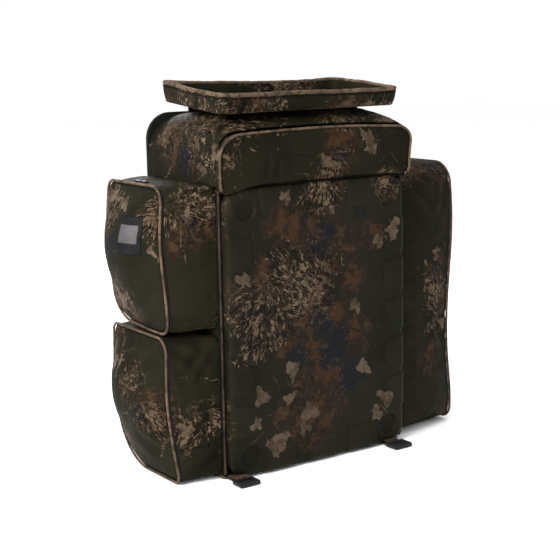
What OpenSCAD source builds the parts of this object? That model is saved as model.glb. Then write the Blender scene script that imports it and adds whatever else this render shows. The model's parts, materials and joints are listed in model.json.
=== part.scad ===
// Tackle backpack. +Z is up and the front faces -Y.
// The origin is the middle of the main body's underside.

/* [Main body] */
// Width of the main body
body_w = 375; // [350:5:400]
// Depth of the main body, from its front seam to its back seam
body_d = 222; // [212:2:240]
// Height of the main body's top
body_h = 590; // [580:5:610]
// Thickness of a padded fabric wall
wall = 6; // [4:0.5:7]
// Radius of the body's upper corners
crown_r = 45; // [35:5:55]
// Height of the seam between the front door and the hood
hood_seam_h = 478; // [460:2:490]
// Depth of the hood, from the body's front seam backwards
hood_reach = 62; // [56:1:66]

/* [Front door] */
// Thickness of the moulded front door
door_t = 16; // [12:1:18]
// Thickness of the door's moulded skin
door_skin = 4.5; // [3:0.5:6]
// Radius of the door's corners
door_r = 28; // [20:2:36]
// How far the moulded blocks stand out of the door
block_rise = 1.2; // [0.5:0.1:2]

/* [Side pockets] */
// Height of the upper left pocket's floor
upper_pocket_z = 250; // [246:1:270]
// Height of the side pockets' tops
pocket_top = 485; // [470:5:500]
// How far the left pockets stand out of the body
left_reach = 79; // [60:1:100]
// How far the right pocket stands out of the body
right_reach = 131; // [100:1:150]
// How far a pocket's face bulges
bulge = 25; // [12:1:30]
// Radius of the pockets' corners
pocket_r = 30; // [20:2:36]

/* [Lid tray] */
// Width of the tray on the lid
tray_w = 356; // [300:2:370]
// Depth of the tray, front to back
tray_d = 180; // [160:2:190]
// Height of the tray's wall with its binding
tray_h = 35; // [25:1:40]
// Slope of the tray, rising to the back
tray_tilt = 5.5; // [4:0.5:6]

/* [Harness] */
// Width of a shoulder strap
strap_w = 66; // [50:2:76]
// Distance from the middle of the back to a strap's middle
strap_x = 96; // [88:1:110]
// Width of the webbing
web_w = 26; // [20:1:30]

/* [Hidden] */
$fn = 64;
hull_fn = 32;

camo = "#3b3d2a";
lining = "#2a2c22";
piping_tan = "#9a8166";
black = "#1d1e1e";
pad_black = "#26282a";

eps = 0.01;
front_y = -body_d / 2;
back_y = body_d / 2;
side_x = body_w / 2;

// Front door and hood
door_gap = 1.5;
door_back = front_y - door_gap;
door_front = door_back - door_t;
door_bottom = 10;
hood_gap = 3;
hood_bottom = hood_seam_h + hood_gap;
hood_front = door_front - 0.5;
hood_flap_t = 10.5;
hood_flap_back = hood_front + hood_flap_t;
hood_back = front_y + hood_reach;
hood_side = side_x + 4;
hood_low_top = 568;
hood_straight_h = hood_low_top - crown_r;
hood_brow_reach = 22;
hood_brow_rise = 4;
hood_edge_reach = 7;
hood_edge_drop = 9;
hood_piping_t = 2;
hood_piping_r = 38;
divider_t = 3;
divider_y = hood_back + 2;
shelf_t = 6;
front_zip_low = 40;
door_edge_gap = 9;
side_block = [56, 40];
end_block = [62, 48];
side_block_zs = [98, 167, 236, 305, 374];
end_block_xs = [-88, 0, 88];
block_reach = 42;
dimple_r = 20;
dimple_depth = 1.5;
dimple_x = 148;
dimple_zs = [36, 443];
base_r = 12;
base_web_x = [-171, 148];
base_web_end = door_front - 9;

// Lid and mouth
mouth_w = 230;
mouth_front = -36;
mouth_back = 44;
pad_w = 260;
pad_front = -62;
pad_back = 58;
pad_gap = 0.6;
hinge_y = 66;
hinge_strip_t = 4;
tray_back_h = 611;
tray_floor_t = 3;
tray_wall_t = 3;
tray_wall_h = 30;
tray_r = 16;

// Side pockets
pocket_front = -84;
pocket_back = 89;
pocket_flare = 14;
pocket_wall = 4;
pocket_skin = 3;
lower_pocket_z = 10;
lower_pocket_top = 240;
face_gap = 0.5;
piping_d = 5;
piping_out = 2.5;
piping_in = 1.5;
bulge_inset = 35;
tape_t = 0.8;
tape_w = 8;
label_ys = [-46, 8];
label_zs = [378, 438];

// Zip sliders and pulls
slider_l = 14;
slider_w = 9;
slider_t = 4;
pull_l = 24;
pull_w = 7;
pull_t = 2;
pull_gap = 1.6;
lid_zip_x = pad_w / 2 + 5;
lid_slider_y = -48;
left_zip_x = -(side_x + left_reach - 2 - tape_w / 2);
right_zip_x = side_x + right_reach - 2 - tape_w / 2;
upper_slider_y = 9;
left_lower_slider_z = 110;
right_slider_z = 60;
front_slider_z = 90;
hood_slider_z = pocket_top + 20;

// Harness
sheet_t = 3;
sheet_w = 300;
sheet_h = 520;
sheet_low = 20;
sheet_r = 30;
pad_t = 20;
pad_r = 24;
pad_in = 16;
pad_out = 150;
back_pad_zs = [240, 500];
lumbar_zs = [60, 215];
yoke_t = 7;
yoke_h = 36;
handle_w = 100;
handle_z = 572;
handle_drop = 46;
handle_web = 14;
handle_t = 5;
patch_t = 3;
foot_z = 34;
foot_h = 10;
strap_t = 12;
strap_top_z = 540;
strap_low_z = 195;
strap_top_y = back_y + 14;
strap_low_y = back_y + 34;
strap_bow = 30;
web_t = 2.4;
lock_w = 38;
lock_l = 26;
lock_t = 7;

module rounded_rect(w, h, r) {
    square([w - 2 * r, h], center = true);
    square([w, h - 2 * r], center = true);
    for (sx = [-1, 1], sy = [-1, 1])
        translate([sx * (w / 2 - r), sy * (h / 2 - r)]) circle(r);
}

// An arch outline: square at the foot, round at the two upper corners
module arch(w, z0, z1, r) {
    translate([-w / 2, z0]) square([w, z1 - z0 - r]);
    translate([-w / 2 + r, z0]) square([w - 2 * r, z1 - z0]);
    for (sx = [-1, 1]) translate([sx * (w / 2 - r), z1 - r]) circle(r);
}

// Takes an outline in X and Z from y0 back to y1
module along_y(y0, y1) {
    translate([0, y1, 0]) rotate([90, 0, 0]) linear_extrude(y1 - y0) children();
}

// Takes an outline in Y and Z from x0 out to x1
module along_x(x0, x1) {
    translate([x0, 0, 0]) rotate([90, 0, 90]) linear_extrude(x1 - x0) children();
}

// Takes an outline in X and Y from z0 up to z1
module along_z(z0, z1) {
    translate([0, 0, z0]) linear_extrude(z1 - z0) children();
}

module block(x0, x1, y0, y1, z0, z1) {
    translate([x0, y0, z0]) cube([x1 - x0, y1 - y0, z1 - z0]);
}

module body_wrap() {
    color(camo) difference() {
        along_y(front_y, back_y - wall) difference() {
            arch(body_w, wall, body_h, crown_r);
            arch(body_w - 2 * wall, wall - 1, body_h - wall, crown_r - wall);
        }
        block(-body_w, body_w, front_y - 1, hood_back + 1, hood_seam_h, body_h + 1);
        block(-mouth_w / 2, mouth_w / 2, mouth_front, mouth_back, body_h - 2 * wall, body_h + 1);
    }
}

module base_panel() {
    color(lining) along_z(0, wall) rounded_rect(body_w, body_d, base_r);
}

module back_panel() {
    color(pad_black) along_y(back_y - wall, back_y) arch(body_w, wall, body_h, crown_r);
}

module divider_wall() {
    color(lining) along_y(divider_y, divider_y + divider_t)
        arch(body_w - 2 * wall, wall, body_h - wall, crown_r - wall);
}

module hood_shelf() {
    inner_x = side_x - wall;
    color(lining) {
        block(-inner_x, inner_x, front_y, divider_y, hood_seam_h - shelf_t, hood_seam_h);
        block(-inner_x, inner_x, hood_front + wall + 1, divider_y, hood_seam_h + 0.6, hood_bottom - 0.4);
        block(-inner_x, inner_x, front_y, divider_y, hood_seam_h - 1, hood_seam_h + 1);
    }
}

module frame_sheet() {
    color(black) along_y(back_y - wall - sheet_t - 1, back_y - wall - 1)
        translate([0, sheet_low + sheet_h / 2]) rounded_rect(sheet_w, sheet_h, sheet_r);
}

// One padded panel on the bag's back
module back_cushion(x0, x1, z0, z1) {
    color(pad_black) along_y(back_y, back_y + pad_t)
        translate([(x0 + x1) / 2, (z0 + z1) / 2]) rounded_rect(x1 - x0, z1 - z0, pad_r);
}

module back_pad_left() {
    back_cushion(-pad_out, -pad_in, back_pad_zs[0], back_pad_zs[1]);
}

module back_pad_right() {
    back_cushion(pad_in, pad_out, back_pad_zs[0], back_pad_zs[1]);
}

module lumbar_pad() {
    back_cushion(-pad_out, pad_out, lumbar_zs[0], lumbar_zs[1]);
}

// The sewn patches that the shoulder straps start from
module strap_yoke() {
    color(pad_black) for (side = [-1, 1]) along_y(back_y, back_y + yoke_t)
        translate([side * strap_x, strap_top_z - 2]) rounded_rect(strap_w + 18, yoke_h, 10);
}

// Slope of the tray's underside: its height at a distance y from the middle
function tray_z(y) = tray_back_h + (y - hinge_y) * tan(tray_tilt);

module lid_hinge_strip() {
    color(camo) block(-pad_w / 2, pad_w / 2, hinge_y - hinge_strip_t - 1, hinge_y - 1,
        body_h, tray_z(hinge_y) - 2);
}

module mouth_zip() {
    color(black) difference() {
        along_z(body_h, body_h + 1.5) translate([0, (pad_front + pad_back) / 2])
            rounded_rect(pad_w + 2 * tape_w, pad_back - pad_front + 6, 12);
        block(-pad_w / 2 - 0.5, pad_w / 2 + 0.5, pad_front - 0.5, hinge_y, body_h - 1, body_h + 3);
    }
}

module front_zip() {
    color(black) difference() {
        along_y(front_y + 1, front_y + 1 + tape_w) difference() {
            arch(body_w + 2 * tape_t, front_zip_low, hood_seam_h, tape_w);
            arch(body_w, front_zip_low - 1, hood_seam_h + tape_w, tape_w);
        }
        block(-side_x + eps, side_x - eps, front_y - 1, back_y, 0, body_h);
    }
}

module hood_zip() {
    z0 = pocket_top + 8;
    y0 = hood_flap_back + 1;
    color(black) difference() {
        along_y(y0, y0 + tape_w) arch(2 * (hood_side + tape_t), z0, hood_straight_h, 1);
        along_y(y0 - 1, y0 + tape_w + 1) arch(2 * hood_side, z0 - 1, hood_straight_h + 1, 1);
    }
}

// The space of a side pocket on the +X side, drawn in by inset all round
module pocket_space(x0, x1, z0, z1, inset, r) {
    span = pocket_back - pocket_front;
    intersection() {
        along_z(z0 + inset, z1 - inset) polygon([
            [x0, pocket_front - pocket_flare + inset], [x1, pocket_front + inset],
            [x1, pocket_back - inset], [x0, pocket_back + pocket_flare - inset]
        ]);
        along_x(x0 - 1, x1 + 1)
            translate([(pocket_front + pocket_back) / 2, (z0 + z1) / 2])
                rounded_rect(span + 2 * pocket_flare - 2 * inset, z1 - z0 - 2 * inset, r);
    }
}

// A pocket's walls, open on its outer side where the face closes it
module pocket_shell(reach, z0, z1) {
    difference() {
        pocket_space(side_x, side_x + reach, z0, z1, 0, pocket_r);
        pocket_space(side_x + pocket_skin, side_x + reach + 1, z0, z1, pocket_wall,
            pocket_r - pocket_wall);
    }
}

// The zip's tape: a band round the shell's mouth, open along its floor
module pocket_zip(reach, z0, z1) {
    outer = side_x + reach;
    intersection() {
        difference() {
            pocket_space(side_x, outer, z0, z1, -tape_t, pocket_r);
            pocket_space(side_x - 1, outer + 1, z0, z1, 0, pocket_r);
        }
        block(outer - tape_w - 2, outer - 2, -body_d, body_d, z0 + 6, z1 + 5);
    }
}

// A pocket's outline at its outer side
module pocket_outline(z0, z1, inset) {
    translate([(pocket_front + pocket_back) / 2, (z0 + z1) / 2])
        rounded_rect(pocket_back - pocket_front - 2 * inset, z1 - z0 - 2 * inset,
            pocket_r - inset);
}

module pocket_face(reach, z0, z1) {
    inner = side_x + reach + face_gap;
    hull() {
        along_x(inner, inner + piping_d) pocket_outline(z0, z1, piping_in, $fn = hull_fn);
        along_x(inner + piping_d, inner + bulge)
            translate([(pocket_front + pocket_back) / 2, (z0 + z1) / 2])
                rounded_rect(pocket_back - pocket_front - 2 * bulge_inset,
                    z1 - z0 - 2 * bulge_inset, pocket_r, $fn = hull_fn);
    }
}

module pocket_piping(reach, z0, z1) {
    inner = side_x + reach + face_gap;
    along_x(inner, inner + piping_d) difference() {
        pocket_outline(z0, z1, -piping_out);
        pocket_outline(z0, z1, piping_in - 0.05);
    }
}

module left_upper_shell() {
    color(camo) mirror([1, 0, 0]) pocket_shell(left_reach, upper_pocket_z, pocket_top);
}

module left_upper_zip() {
    color(black) mirror([1, 0, 0]) pocket_zip(left_reach, upper_pocket_z, pocket_top);
}

module left_upper_face() {
    color(camo) mirror([1, 0, 0]) pocket_face(left_reach, upper_pocket_z, pocket_top);
}

module left_upper_piping() {
    color(piping_tan) mirror([1, 0, 0]) pocket_piping(left_reach, upper_pocket_z, pocket_top);
}

module left_lower_shell() {
    color(camo) mirror([1, 0, 0]) pocket_shell(left_reach, lower_pocket_z, lower_pocket_top);
}

module left_lower_zip() {
    color(black) mirror([1, 0, 0]) pocket_zip(left_reach, lower_pocket_z, lower_pocket_top);
}

module left_lower_face() {
    color(camo) mirror([1, 0, 0]) pocket_face(left_reach, lower_pocket_z, lower_pocket_top);
}

module left_lower_piping() {
    color(piping_tan) mirror([1, 0, 0])
        pocket_piping(left_reach, lower_pocket_z, lower_pocket_top);
}

module right_shell() {
    color(camo) pocket_shell(right_reach, lower_pocket_z, pocket_top);
}

module right_zip() {
    color(black) pocket_zip(right_reach, lower_pocket_z, pocket_top);
}

module right_face() {
    color(camo) pocket_face(right_reach, lower_pocket_z, pocket_top);
}

module right_piping() {
    color(piping_tan) pocket_piping(right_reach, lower_pocket_z, pocket_top);
}

module label_patch() {
    outer = side_x + left_reach + face_gap + bulge;
    color(black) block(-outer - 1, -outer, label_ys[0], label_ys[1], label_zs[0], label_zs[1]);
}

// Webbing from each lower corner of the back up to the shoulder strap's ladder lock
module lower_webbing() {
    top_y = strap_low_y - 6;
    top_z = strap_low_z - lock_l - 4;
    color(black) for (side = [-1, 1]) {
        along_x(side * strap_x - web_w / 2, side * strap_x + web_w / 2) polygon([
            [back_y + pad_t + 1, foot_z + foot_h], [back_y + pad_t + 1 + web_t, foot_z + foot_h],
            [top_y + web_t, top_z], [top_y, top_z]
        ]);
        block(side * strap_x - web_w / 2, side * strap_x + web_w / 2,
            back_y, back_y + pad_t + 1 + web_t, foot_z, foot_z + foot_h);
    }
}

// Short webbing tabs that come out under the front door
module base_webbing() {
    color(black) for (x = base_web_x)
        block(x - web_w / 2, x + web_w / 2, base_web_end, front_y, 1, 1 + web_t);
}

// A ladder lock that lies flat: a frame with two slots and ribs across its grip
module ladder_frame(w, l, t) {
    bar = 4;
    difference() {
        translate([-w / 2, -l, 0]) cube([w, l, t]);
        for (y = [-l + bar, -l / 2 + bar / 2])
            translate([-w / 2 + bar, y, -1]) cube([w - 2 * bar, l / 2 - 1.5 * bar, t + 2]);
    }
}

module left_base_buckle() {
    color(black) translate([base_web_x[0], base_web_end - 0.5, 1]) ladder_frame(lock_w, lock_l, lock_t);
}

module right_base_buckle() {
    color(black) translate([base_web_x[1], base_web_end - 0.5, 1]) ladder_frame(lock_w, lock_l, lock_t);
}

module lid_pad() {
    color(camo) along_x(-pad_w / 2, pad_w / 2) polygon([
        [pad_front, body_h + pad_gap], [pad_back, body_h + pad_gap],
        [pad_back, tray_z(pad_back)], [pad_front, tray_z(pad_front)]
    ]);
}

// Places a piece in the tray's own frame: its origin is the back lower edge
module in_tray() {
    translate([0, hinge_y, tray_back_h]) rotate([tray_tilt, 0, 0])
        translate([0, -tray_d / 2, 0]) children();
}

module tray_floor() {
    color(camo) in_tray() along_z(0, tray_floor_t)
        rounded_rect(tray_w - 4, tray_d - 4, tray_r);
}

module tray_ring(grow, thick) {
    difference() {
        rounded_rect(tray_w - 4 + 2 * grow, tray_d - 4 + 2 * grow, tray_r + grow);
        rounded_rect(tray_w - 4 + 2 * grow - 2 * thick, tray_d - 4 + 2 * grow - 2 * thick,
            tray_r + grow - thick);
    }
}

module tray_wall() {
    color(camo) in_tray() along_z(tray_floor_t, tray_wall_h) tray_ring(0, tray_wall_t);
}

module tray_binding() {
    color(piping_tan) in_tray() along_z(tray_wall_h, tray_h) tray_ring(2, tray_wall_t + 4);
}

// One moulded block on the door's border, narrow end towards the door's middle
module border_block(length, inner_length, reach) {
    polygon([
        [-length / 2, 0], [length / 2, 0], [inner_length / 2, reach], [-inner_length / 2, reach]
    ]);
}

module front_panel() {
    door_h = hood_seam_h - door_bottom;
    mid_z = door_bottom + door_h / 2;
    edge = side_x - door_edge_gap;
    color(camo) {
        difference() {
            along_y(door_front, door_back) translate([0, mid_z]) rounded_rect(body_w, door_h, door_r);
            along_y(door_front + door_skin, door_back + 1) translate([0, mid_z])
                rounded_rect(body_w - 2 * wall, door_h - 2 * wall, door_r - wall);
            for (x = [-dimple_x, dimple_x], z = dimple_zs)
                translate([x, door_front + dimple_depth, z]) rotate([90, 0, 0])
                    cylinder(h = door_t, r = dimple_r);
        }
        for (side = [-1, 1], z = side_block_zs)
            along_y(door_front - block_rise, door_front)
                translate([side * edge, z]) rotate(side * 90)
                    border_block(side_block[0], side_block[1], block_reach);
        for (end = [0, 1], x = end_block_xs)
            along_y(door_front - block_rise, door_front)
                translate([x, end == 0 ? door_bottom + door_edge_gap : hood_seam_h - door_edge_gap])
                    rotate(end * 180) border_block(end_block[0], end_block[1], block_reach);
    }
}

module front_lining() {
    door_h = hood_seam_h - door_bottom;
    color(lining) along_y(door_back - 3, door_back - 1)
        translate([0, door_bottom + door_h / 2])
            rounded_rect(body_w - 2 * wall, door_h - 2 * wall, door_r - wall);
}

// The hood's space up to back: an arch that slopes down to the front, drawn in by inset
module hood_space(inset, back) {
    slope_end = hood_back + 2;
    intersection() {
        along_y(hood_front, back)
            arch(2 * (hood_side - inset), hood_bottom - 1, body_h - inset, crown_r - inset);
        along_x(-body_w, body_w) polygon([
            [hood_front + inset, hood_bottom], [slope_end, hood_bottom], [slope_end, body_h - inset],
            [hood_front + hood_brow_reach + inset, hood_low_top + hood_brow_rise - inset],
            [hood_front + hood_edge_reach + inset, hood_low_top - inset],
            [hood_front + inset, hood_low_top - hood_edge_drop - inset]
        ]);
    }
}

// The hood's fixed sides and top, between the body and the face's zip
module hood_gusset() {
    color(camo) difference() {
        hood_space(0, hood_back - 0.5);
        translate([0, 0, -eps]) hood_space(wall, hood_back + 1);
        block(-body_w, body_w, hood_front - 1, hood_flap_back + 0.5, hood_bottom - 2, body_h);
        block(-hood_side + wall, hood_side - wall, hood_front, hood_back + 1,
            hood_bottom - 2, hood_bottom + 20);
        block(-body_w, body_w, pocket_front - pocket_flare - 4, hood_back + 1,
            hood_bottom - 2, pocket_top + 4);
    }
}

// The hood's face with its rim, which opens forwards
module hood_face() {
    color(camo) difference() {
        hood_space(0, hood_flap_back);
        translate([0, 0, -eps]) hood_space(wall, hood_flap_back + 1);
    }
}

module hood_piping() {
    z0 = hood_bottom + 1;
    z1 = hood_low_top - 4;
    w = 2 * hood_side - 2;
    color(piping_tan) along_y(hood_front - hood_piping_t, hood_front) translate([0, (z0 + z1) / 2])
        difference() {
            rounded_rect(w, z1 - z0, hood_piping_r);
            rounded_rect(w - 2 * piping_d, z1 - z0 - 2 * piping_d, hood_piping_r - piping_d);
        }
}

module handle_patch() {
    reach = handle_w / 2 + 6;
    color(black) block(-reach, reach, back_y, back_y + patch_t, handle_z - 10, handle_z + 10);
}

// A webbing loop that hangs from the top of the back
module haul_handle() {
    y0 = back_y + patch_t + 0.5;
    h = handle_drop + 8;
    color(black) along_y(y0, y0 + handle_t) translate([0, handle_z - handle_drop / 2 + 4])
        difference() {
            rounded_rect(handle_w, h, 16);
            rounded_rect(handle_w - 2 * handle_web, h - 2 * handle_web, 8);
        }
}

// A shoulder strap's outline in Y and Z: a thick arc that bows away from the back
module strap_arc() {
    chord = sqrt(pow(strap_low_y - strap_top_y, 2) + pow(strap_top_z - strap_low_z, 2));
    r = (pow(chord / 2, 2) + pow(strap_bow, 2)) / (2 * strap_bow);
    lean = atan2(strap_low_y - strap_top_y, strap_top_z - strap_low_z);
    half = asin(chord / 2 / r);
    translate([(strap_top_y + strap_low_y) / 2, (strap_top_z + strap_low_z) / 2]) rotate(lean)
        translate([strap_bow - r, 0]) intersection() {
            difference() {
                circle(r + strap_t / 2, $fn = 360);
                circle(r - strap_t / 2, $fn = 360);
            }
            polygon([[0, 0], [2 * r * cos(half), -2 * r * sin(half)], [3 * r, 0],
                [2 * r * cos(half), 2 * r * sin(half)]]);
        }
}

module shoulder_strap(side) {
    color(pad_black) along_x(side * strap_x - strap_w / 2, side * strap_x + strap_w / 2) strap_arc();
}

module left_shoulder_strap() {
    shoulder_strap(-1);
}

module right_shoulder_strap() {
    shoulder_strap(1);
}

// A ladder lock on the strap's lower end
module strap_lock(side) {
    color(black) translate([side * strap_x, strap_low_y - 9, strap_low_z - 2]) rotate([90, 0, 0])
        mirror([0, 0, 1]) ladder_frame(lock_w, lock_l, lock_t);
}

module left_ladder_lock() {
    strap_lock(-1);
}

module right_ladder_lock() {
    strap_lock(1);
}

// A zip slider that lies on a surface facing +Z and runs along Y
module slider_body() {
    translate([-slider_w / 2, -slider_l / 2, 0]) cube([slider_w, slider_l, slider_t]);
}

// A pull that lies beside its slider, hinged on the slider's edge and reaching out along +X
module pull_tab() {
    difference() {
        translate([slider_w / 2 + pull_gap, -pull_w / 2, 0.5]) cube([pull_l, pull_w, pull_t]);
        translate([slider_w / 2 + pull_gap + pull_l - 5, 0, 0]) cylinder(h = 4, r = 1.6);
    }
}

module on_lid_zip() {
    translate([lid_zip_x, lid_slider_y, body_h + 1.6]) children();
}

module lid_slider() {
    color(black) on_lid_zip() slider_body();
}

module lid_pull() {
    color(black) on_lid_zip() pull_tab();
}

// On the upper left pocket's top: a pull lies inwards, over the pocket
module on_upper_zip(y) {
    translate([left_zip_x, y, pocket_top + tape_t + 0.1]) children();
}

module left_upper_front_slider() {
    color(black) on_upper_zip(-upper_slider_y) slider_body();
}

module left_upper_front_pull() {
    color(black) on_upper_zip(-upper_slider_y) pull_tab();
}

module left_upper_rear_slider() {
    color(black) on_upper_zip(upper_slider_y) slider_body();
}

module left_upper_rear_pull() {
    color(black) on_upper_zip(upper_slider_y) pull_tab();
}

// On a surface that faces +Y: the slider runs along Z and its pull hangs from it
module on_back_of_pocket(x, z) {
    translate([x, pocket_back + tape_t + 2.4, z]) rotate([-90, 0, 0]) rotate([0, 0, 90]) children();
}

module left_lower_slider() {
    color(black) on_back_of_pocket(left_zip_x, left_lower_slider_z) turned_slider();
}

// The slider turned to run along the pull's own direction
module turned_slider() {
    translate([-slider_l / 2, -slider_w / 2, 0]) cube([slider_l, slider_w, slider_t]);
}

module hanging_pull() {
    translate([(slider_l - slider_w) / 2, 0, 0]) pull_tab();
}

module left_lower_pull() {
    color(black) on_back_of_pocket(left_zip_x, left_lower_slider_z) hanging_pull();
}

module right_slider() {
    color(black) on_back_of_pocket(right_zip_x, right_slider_z) turned_slider();
}

module right_pull() {
    color(black) on_back_of_pocket(right_zip_x, right_slider_z) hanging_pull();
}

// On the body's right side, which faces +X: the pull hangs down
module on_right_side(y, z) {
    translate([side_x + tape_t + 0.1, y, z]) rotate([0, 90, 0]) children();
}

module front_slider() {
    color(black) on_right_side(front_y + 1 + tape_w / 2, front_slider_z) turned_slider();
}

module front_pull() {
    color(black) on_right_side(front_y + 1 + tape_w / 2, front_slider_z) hanging_pull();
}

module on_hood_side() {
    translate([hood_side - side_x, 0, 0])
        on_right_side(hood_flap_back + 1 + tape_w / 2, hood_slider_z) children();
}

module hood_slider() {
    color(black) on_hood_side() turned_slider();
}

module hood_pull() {
    color(black) on_hood_side() hanging_pull();
}

body_wrap();
base_panel();
back_panel();
divider_wall();
hood_shelf();
frame_sheet();
back_pad_left();
back_pad_right();
lumbar_pad();
strap_yoke();
lid_hinge_strip();
mouth_zip();
front_zip();
hood_zip();
left_upper_shell();
left_upper_zip();
left_lower_shell();
left_lower_zip();
right_shell();
right_zip();
lower_webbing();
base_webbing();
handle_patch();
lid_pad();
tray_floor();
tray_wall();
tray_binding();
front_panel();
front_lining();
hood_gusset();
hood_face();
hood_piping();
left_upper_face();
left_upper_piping();
label_patch();
left_lower_face();
left_lower_piping();
right_face();
right_piping();
haul_handle();
left_shoulder_strap();
right_shoulder_strap();
left_ladder_lock();
right_ladder_lock();
left_base_buckle();
right_base_buckle();
lid_slider();
lid_pull();
left_upper_front_slider();
left_upper_front_pull();
left_upper_rear_slider();
left_upper_rear_pull();
left_lower_slider();
left_lower_pull();
right_slider();
right_pull();
front_slider();
front_pull();
hood_slider();
hood_pull();
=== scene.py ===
import json
import math
import random

import bmesh
import bpy
import numpy as np
from mathutils import Matrix, Vector, noise
from mathutils.bvhtree import BVHTree


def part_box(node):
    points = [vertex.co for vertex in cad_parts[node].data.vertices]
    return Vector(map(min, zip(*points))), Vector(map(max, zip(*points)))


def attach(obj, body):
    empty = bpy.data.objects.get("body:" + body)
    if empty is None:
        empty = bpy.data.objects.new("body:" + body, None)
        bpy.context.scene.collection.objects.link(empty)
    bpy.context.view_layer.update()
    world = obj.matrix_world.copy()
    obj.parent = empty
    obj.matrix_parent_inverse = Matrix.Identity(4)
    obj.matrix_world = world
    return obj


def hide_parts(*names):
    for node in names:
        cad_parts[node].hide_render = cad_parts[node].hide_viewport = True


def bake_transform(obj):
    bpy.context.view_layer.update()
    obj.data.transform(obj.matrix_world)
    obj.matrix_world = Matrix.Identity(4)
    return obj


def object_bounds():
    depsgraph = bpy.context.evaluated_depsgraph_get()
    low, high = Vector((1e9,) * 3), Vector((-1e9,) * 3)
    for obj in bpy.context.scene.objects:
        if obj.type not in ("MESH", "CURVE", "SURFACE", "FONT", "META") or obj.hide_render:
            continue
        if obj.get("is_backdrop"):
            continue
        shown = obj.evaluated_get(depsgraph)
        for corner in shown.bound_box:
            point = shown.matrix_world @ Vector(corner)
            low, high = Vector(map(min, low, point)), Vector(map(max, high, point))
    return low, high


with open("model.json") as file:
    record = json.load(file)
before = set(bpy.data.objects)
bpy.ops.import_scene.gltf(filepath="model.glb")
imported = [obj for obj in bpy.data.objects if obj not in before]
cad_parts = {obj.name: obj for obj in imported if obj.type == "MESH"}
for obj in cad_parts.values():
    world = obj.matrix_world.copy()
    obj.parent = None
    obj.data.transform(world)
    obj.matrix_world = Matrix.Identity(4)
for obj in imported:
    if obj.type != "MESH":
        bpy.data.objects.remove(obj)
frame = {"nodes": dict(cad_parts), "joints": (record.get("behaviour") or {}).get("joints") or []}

CAD_LOW, CAD_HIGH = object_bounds()
MM = 0.001

# ---------------------------------------------------------------- measures taken from the frame


def span(node):
    """Lowest and highest corner of a CAD node, in millimetres."""
    low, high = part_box(node)
    return np.array(low) / MM, np.array(high) / MM


BODY_LOW, BODY_HIGH = span("back_panel")
SIDE_X = BODY_HIGH[0]
BACK_Y = BODY_HIGH[1]
BODY_TOP = BODY_HIGH[2]
FRONT_Y = span("base_panel")[0][1]
DOOR_LOW, DOOR_HIGH = span("front_panel")
HOOD_LOW, HOOD_HIGH = span("hood_face")
GUSSET_LOW, GUSSET_HIGH = span("hood_gusset")
LID_HINGE = [j for j in frame["joints"] if j["name"] == "lid_hinge"][0]

# ---------------------------------------------------------------- small maths


def ease(t):
    """Goes from 0 to 1 with level ends."""
    t = np.clip(t, 0.0, 1.0)
    return t * t * (3 - 2 * t)


def resample(path, count, closed=False):
    """Evenly spaced points along a path. A closed path doesn't repeat its first point."""
    path = np.asarray(path, float)
    if closed:
        path = np.vstack([path, path[:1]])
    steps = np.r_[0, np.cumsum(np.linalg.norm(np.diff(path, axis=0), axis=1))]
    at = np.linspace(0, steps[-1], count + 1)[:-1] if closed else np.linspace(0, steps[-1], count)
    return np.stack([np.interp(at, steps, path[:, k]) for k in range(path.shape[1])], axis=1)


def rounded_outline(a0, a1, b0, b1, radii, count):
    """Points round a rectangle, from the middle of its lower side.
    radii go lower right, upper right, upper left, lower left."""
    lower_right, upper_right, upper_left, lower_left = radii
    corners = [
        (a1 - lower_right, b0 + lower_right, lower_right, -90),
        (a1 - upper_right, b1 - upper_right, upper_right, 0),
        (a0 + upper_left, b1 - upper_left, upper_left, 90),
        (a0 + lower_left, b0 + lower_left, lower_left, 180),
    ]
    path = [((a0 + a1) / 2, b0)]
    for a, b, radius, start in corners:
        for k in range(13):
            turn = math.radians(start + 7.5 * k)
            path.append((a + radius * math.cos(turn), b + radius * math.sin(turn)))
    return resample(path, count, closed=True)


def wander(point, scale, seed):
    """Smooth noise from -1 to 1 at a point in millimetres; scale is the size of its features."""
    return noise.noise(Vector(point) / scale + Vector((seed, seed * 0.7, -seed)))


# ---------------------------------------------------------------- meshes


def make_mesh(name, points, faces, materials, smooth=True):
    """A mesh object from points in millimetres."""
    mesh = bpy.data.meshes.new(name)
    mesh.from_pydata((np.asarray(points) * MM).tolist(), [], [tuple(int(i) for i in f) for f in faces])
    mesh.validate()
    piece = bpy.data.objects.new(name, mesh)
    bpy.context.scene.collection.objects.link(piece)
    for material in materials:
        mesh.materials.append(material)
    for polygon in mesh.polygons:
        polygon.use_smooth = smooth
    tidy_normals(piece)
    return piece


def tidy_normals(piece):
    work = bmesh.new()
    work.from_mesh(piece.data)
    bmesh.ops.recalc_face_normals(work, faces=work.faces)
    work.to_mesh(piece.data)
    work.free()


def grid_faces(rows, columns, wrap=False):
    """Quads over points laid out row by row. wrap joins each row's last point to its first."""
    faces = []
    for r in range(rows - 1):
        for c in range(columns if wrap else columns - 1):
            after = (c + 1) % columns
            here, above = r * columns, (r + 1) * columns
            faces.append((here + c, here + after, above + after, above + c))
    return faces


def grid_border(rows, columns):
    """The indices of a grid's outer points, in order."""
    index = np.arange(rows * columns).reshape(rows, columns)
    return list(index[0, :]) + list(index[1:, -1]) + list(index[-1, -2::-1]) + list(index[-2:0:-1, 0])


def closed_loft(rings, first_cap=True, last_cap=True):
    """Points and faces of rings joined in turn, with a fan at each end."""
    count = len(rings[0])
    points = [p for ring in rings for p in ring]
    faces = grid_faces(len(rings), count, wrap=True)
    for is_capped, ring, start in ((first_cap, rings[0], 0), (last_cap, rings[-1], (len(rings) - 1) * count)):
        if is_capped:
            points.append(np.mean(ring, axis=0))
            faces += [(start + c, start + (c + 1) % count, len(points) - 1) for c in range(count)]
    return points, faces


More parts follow.
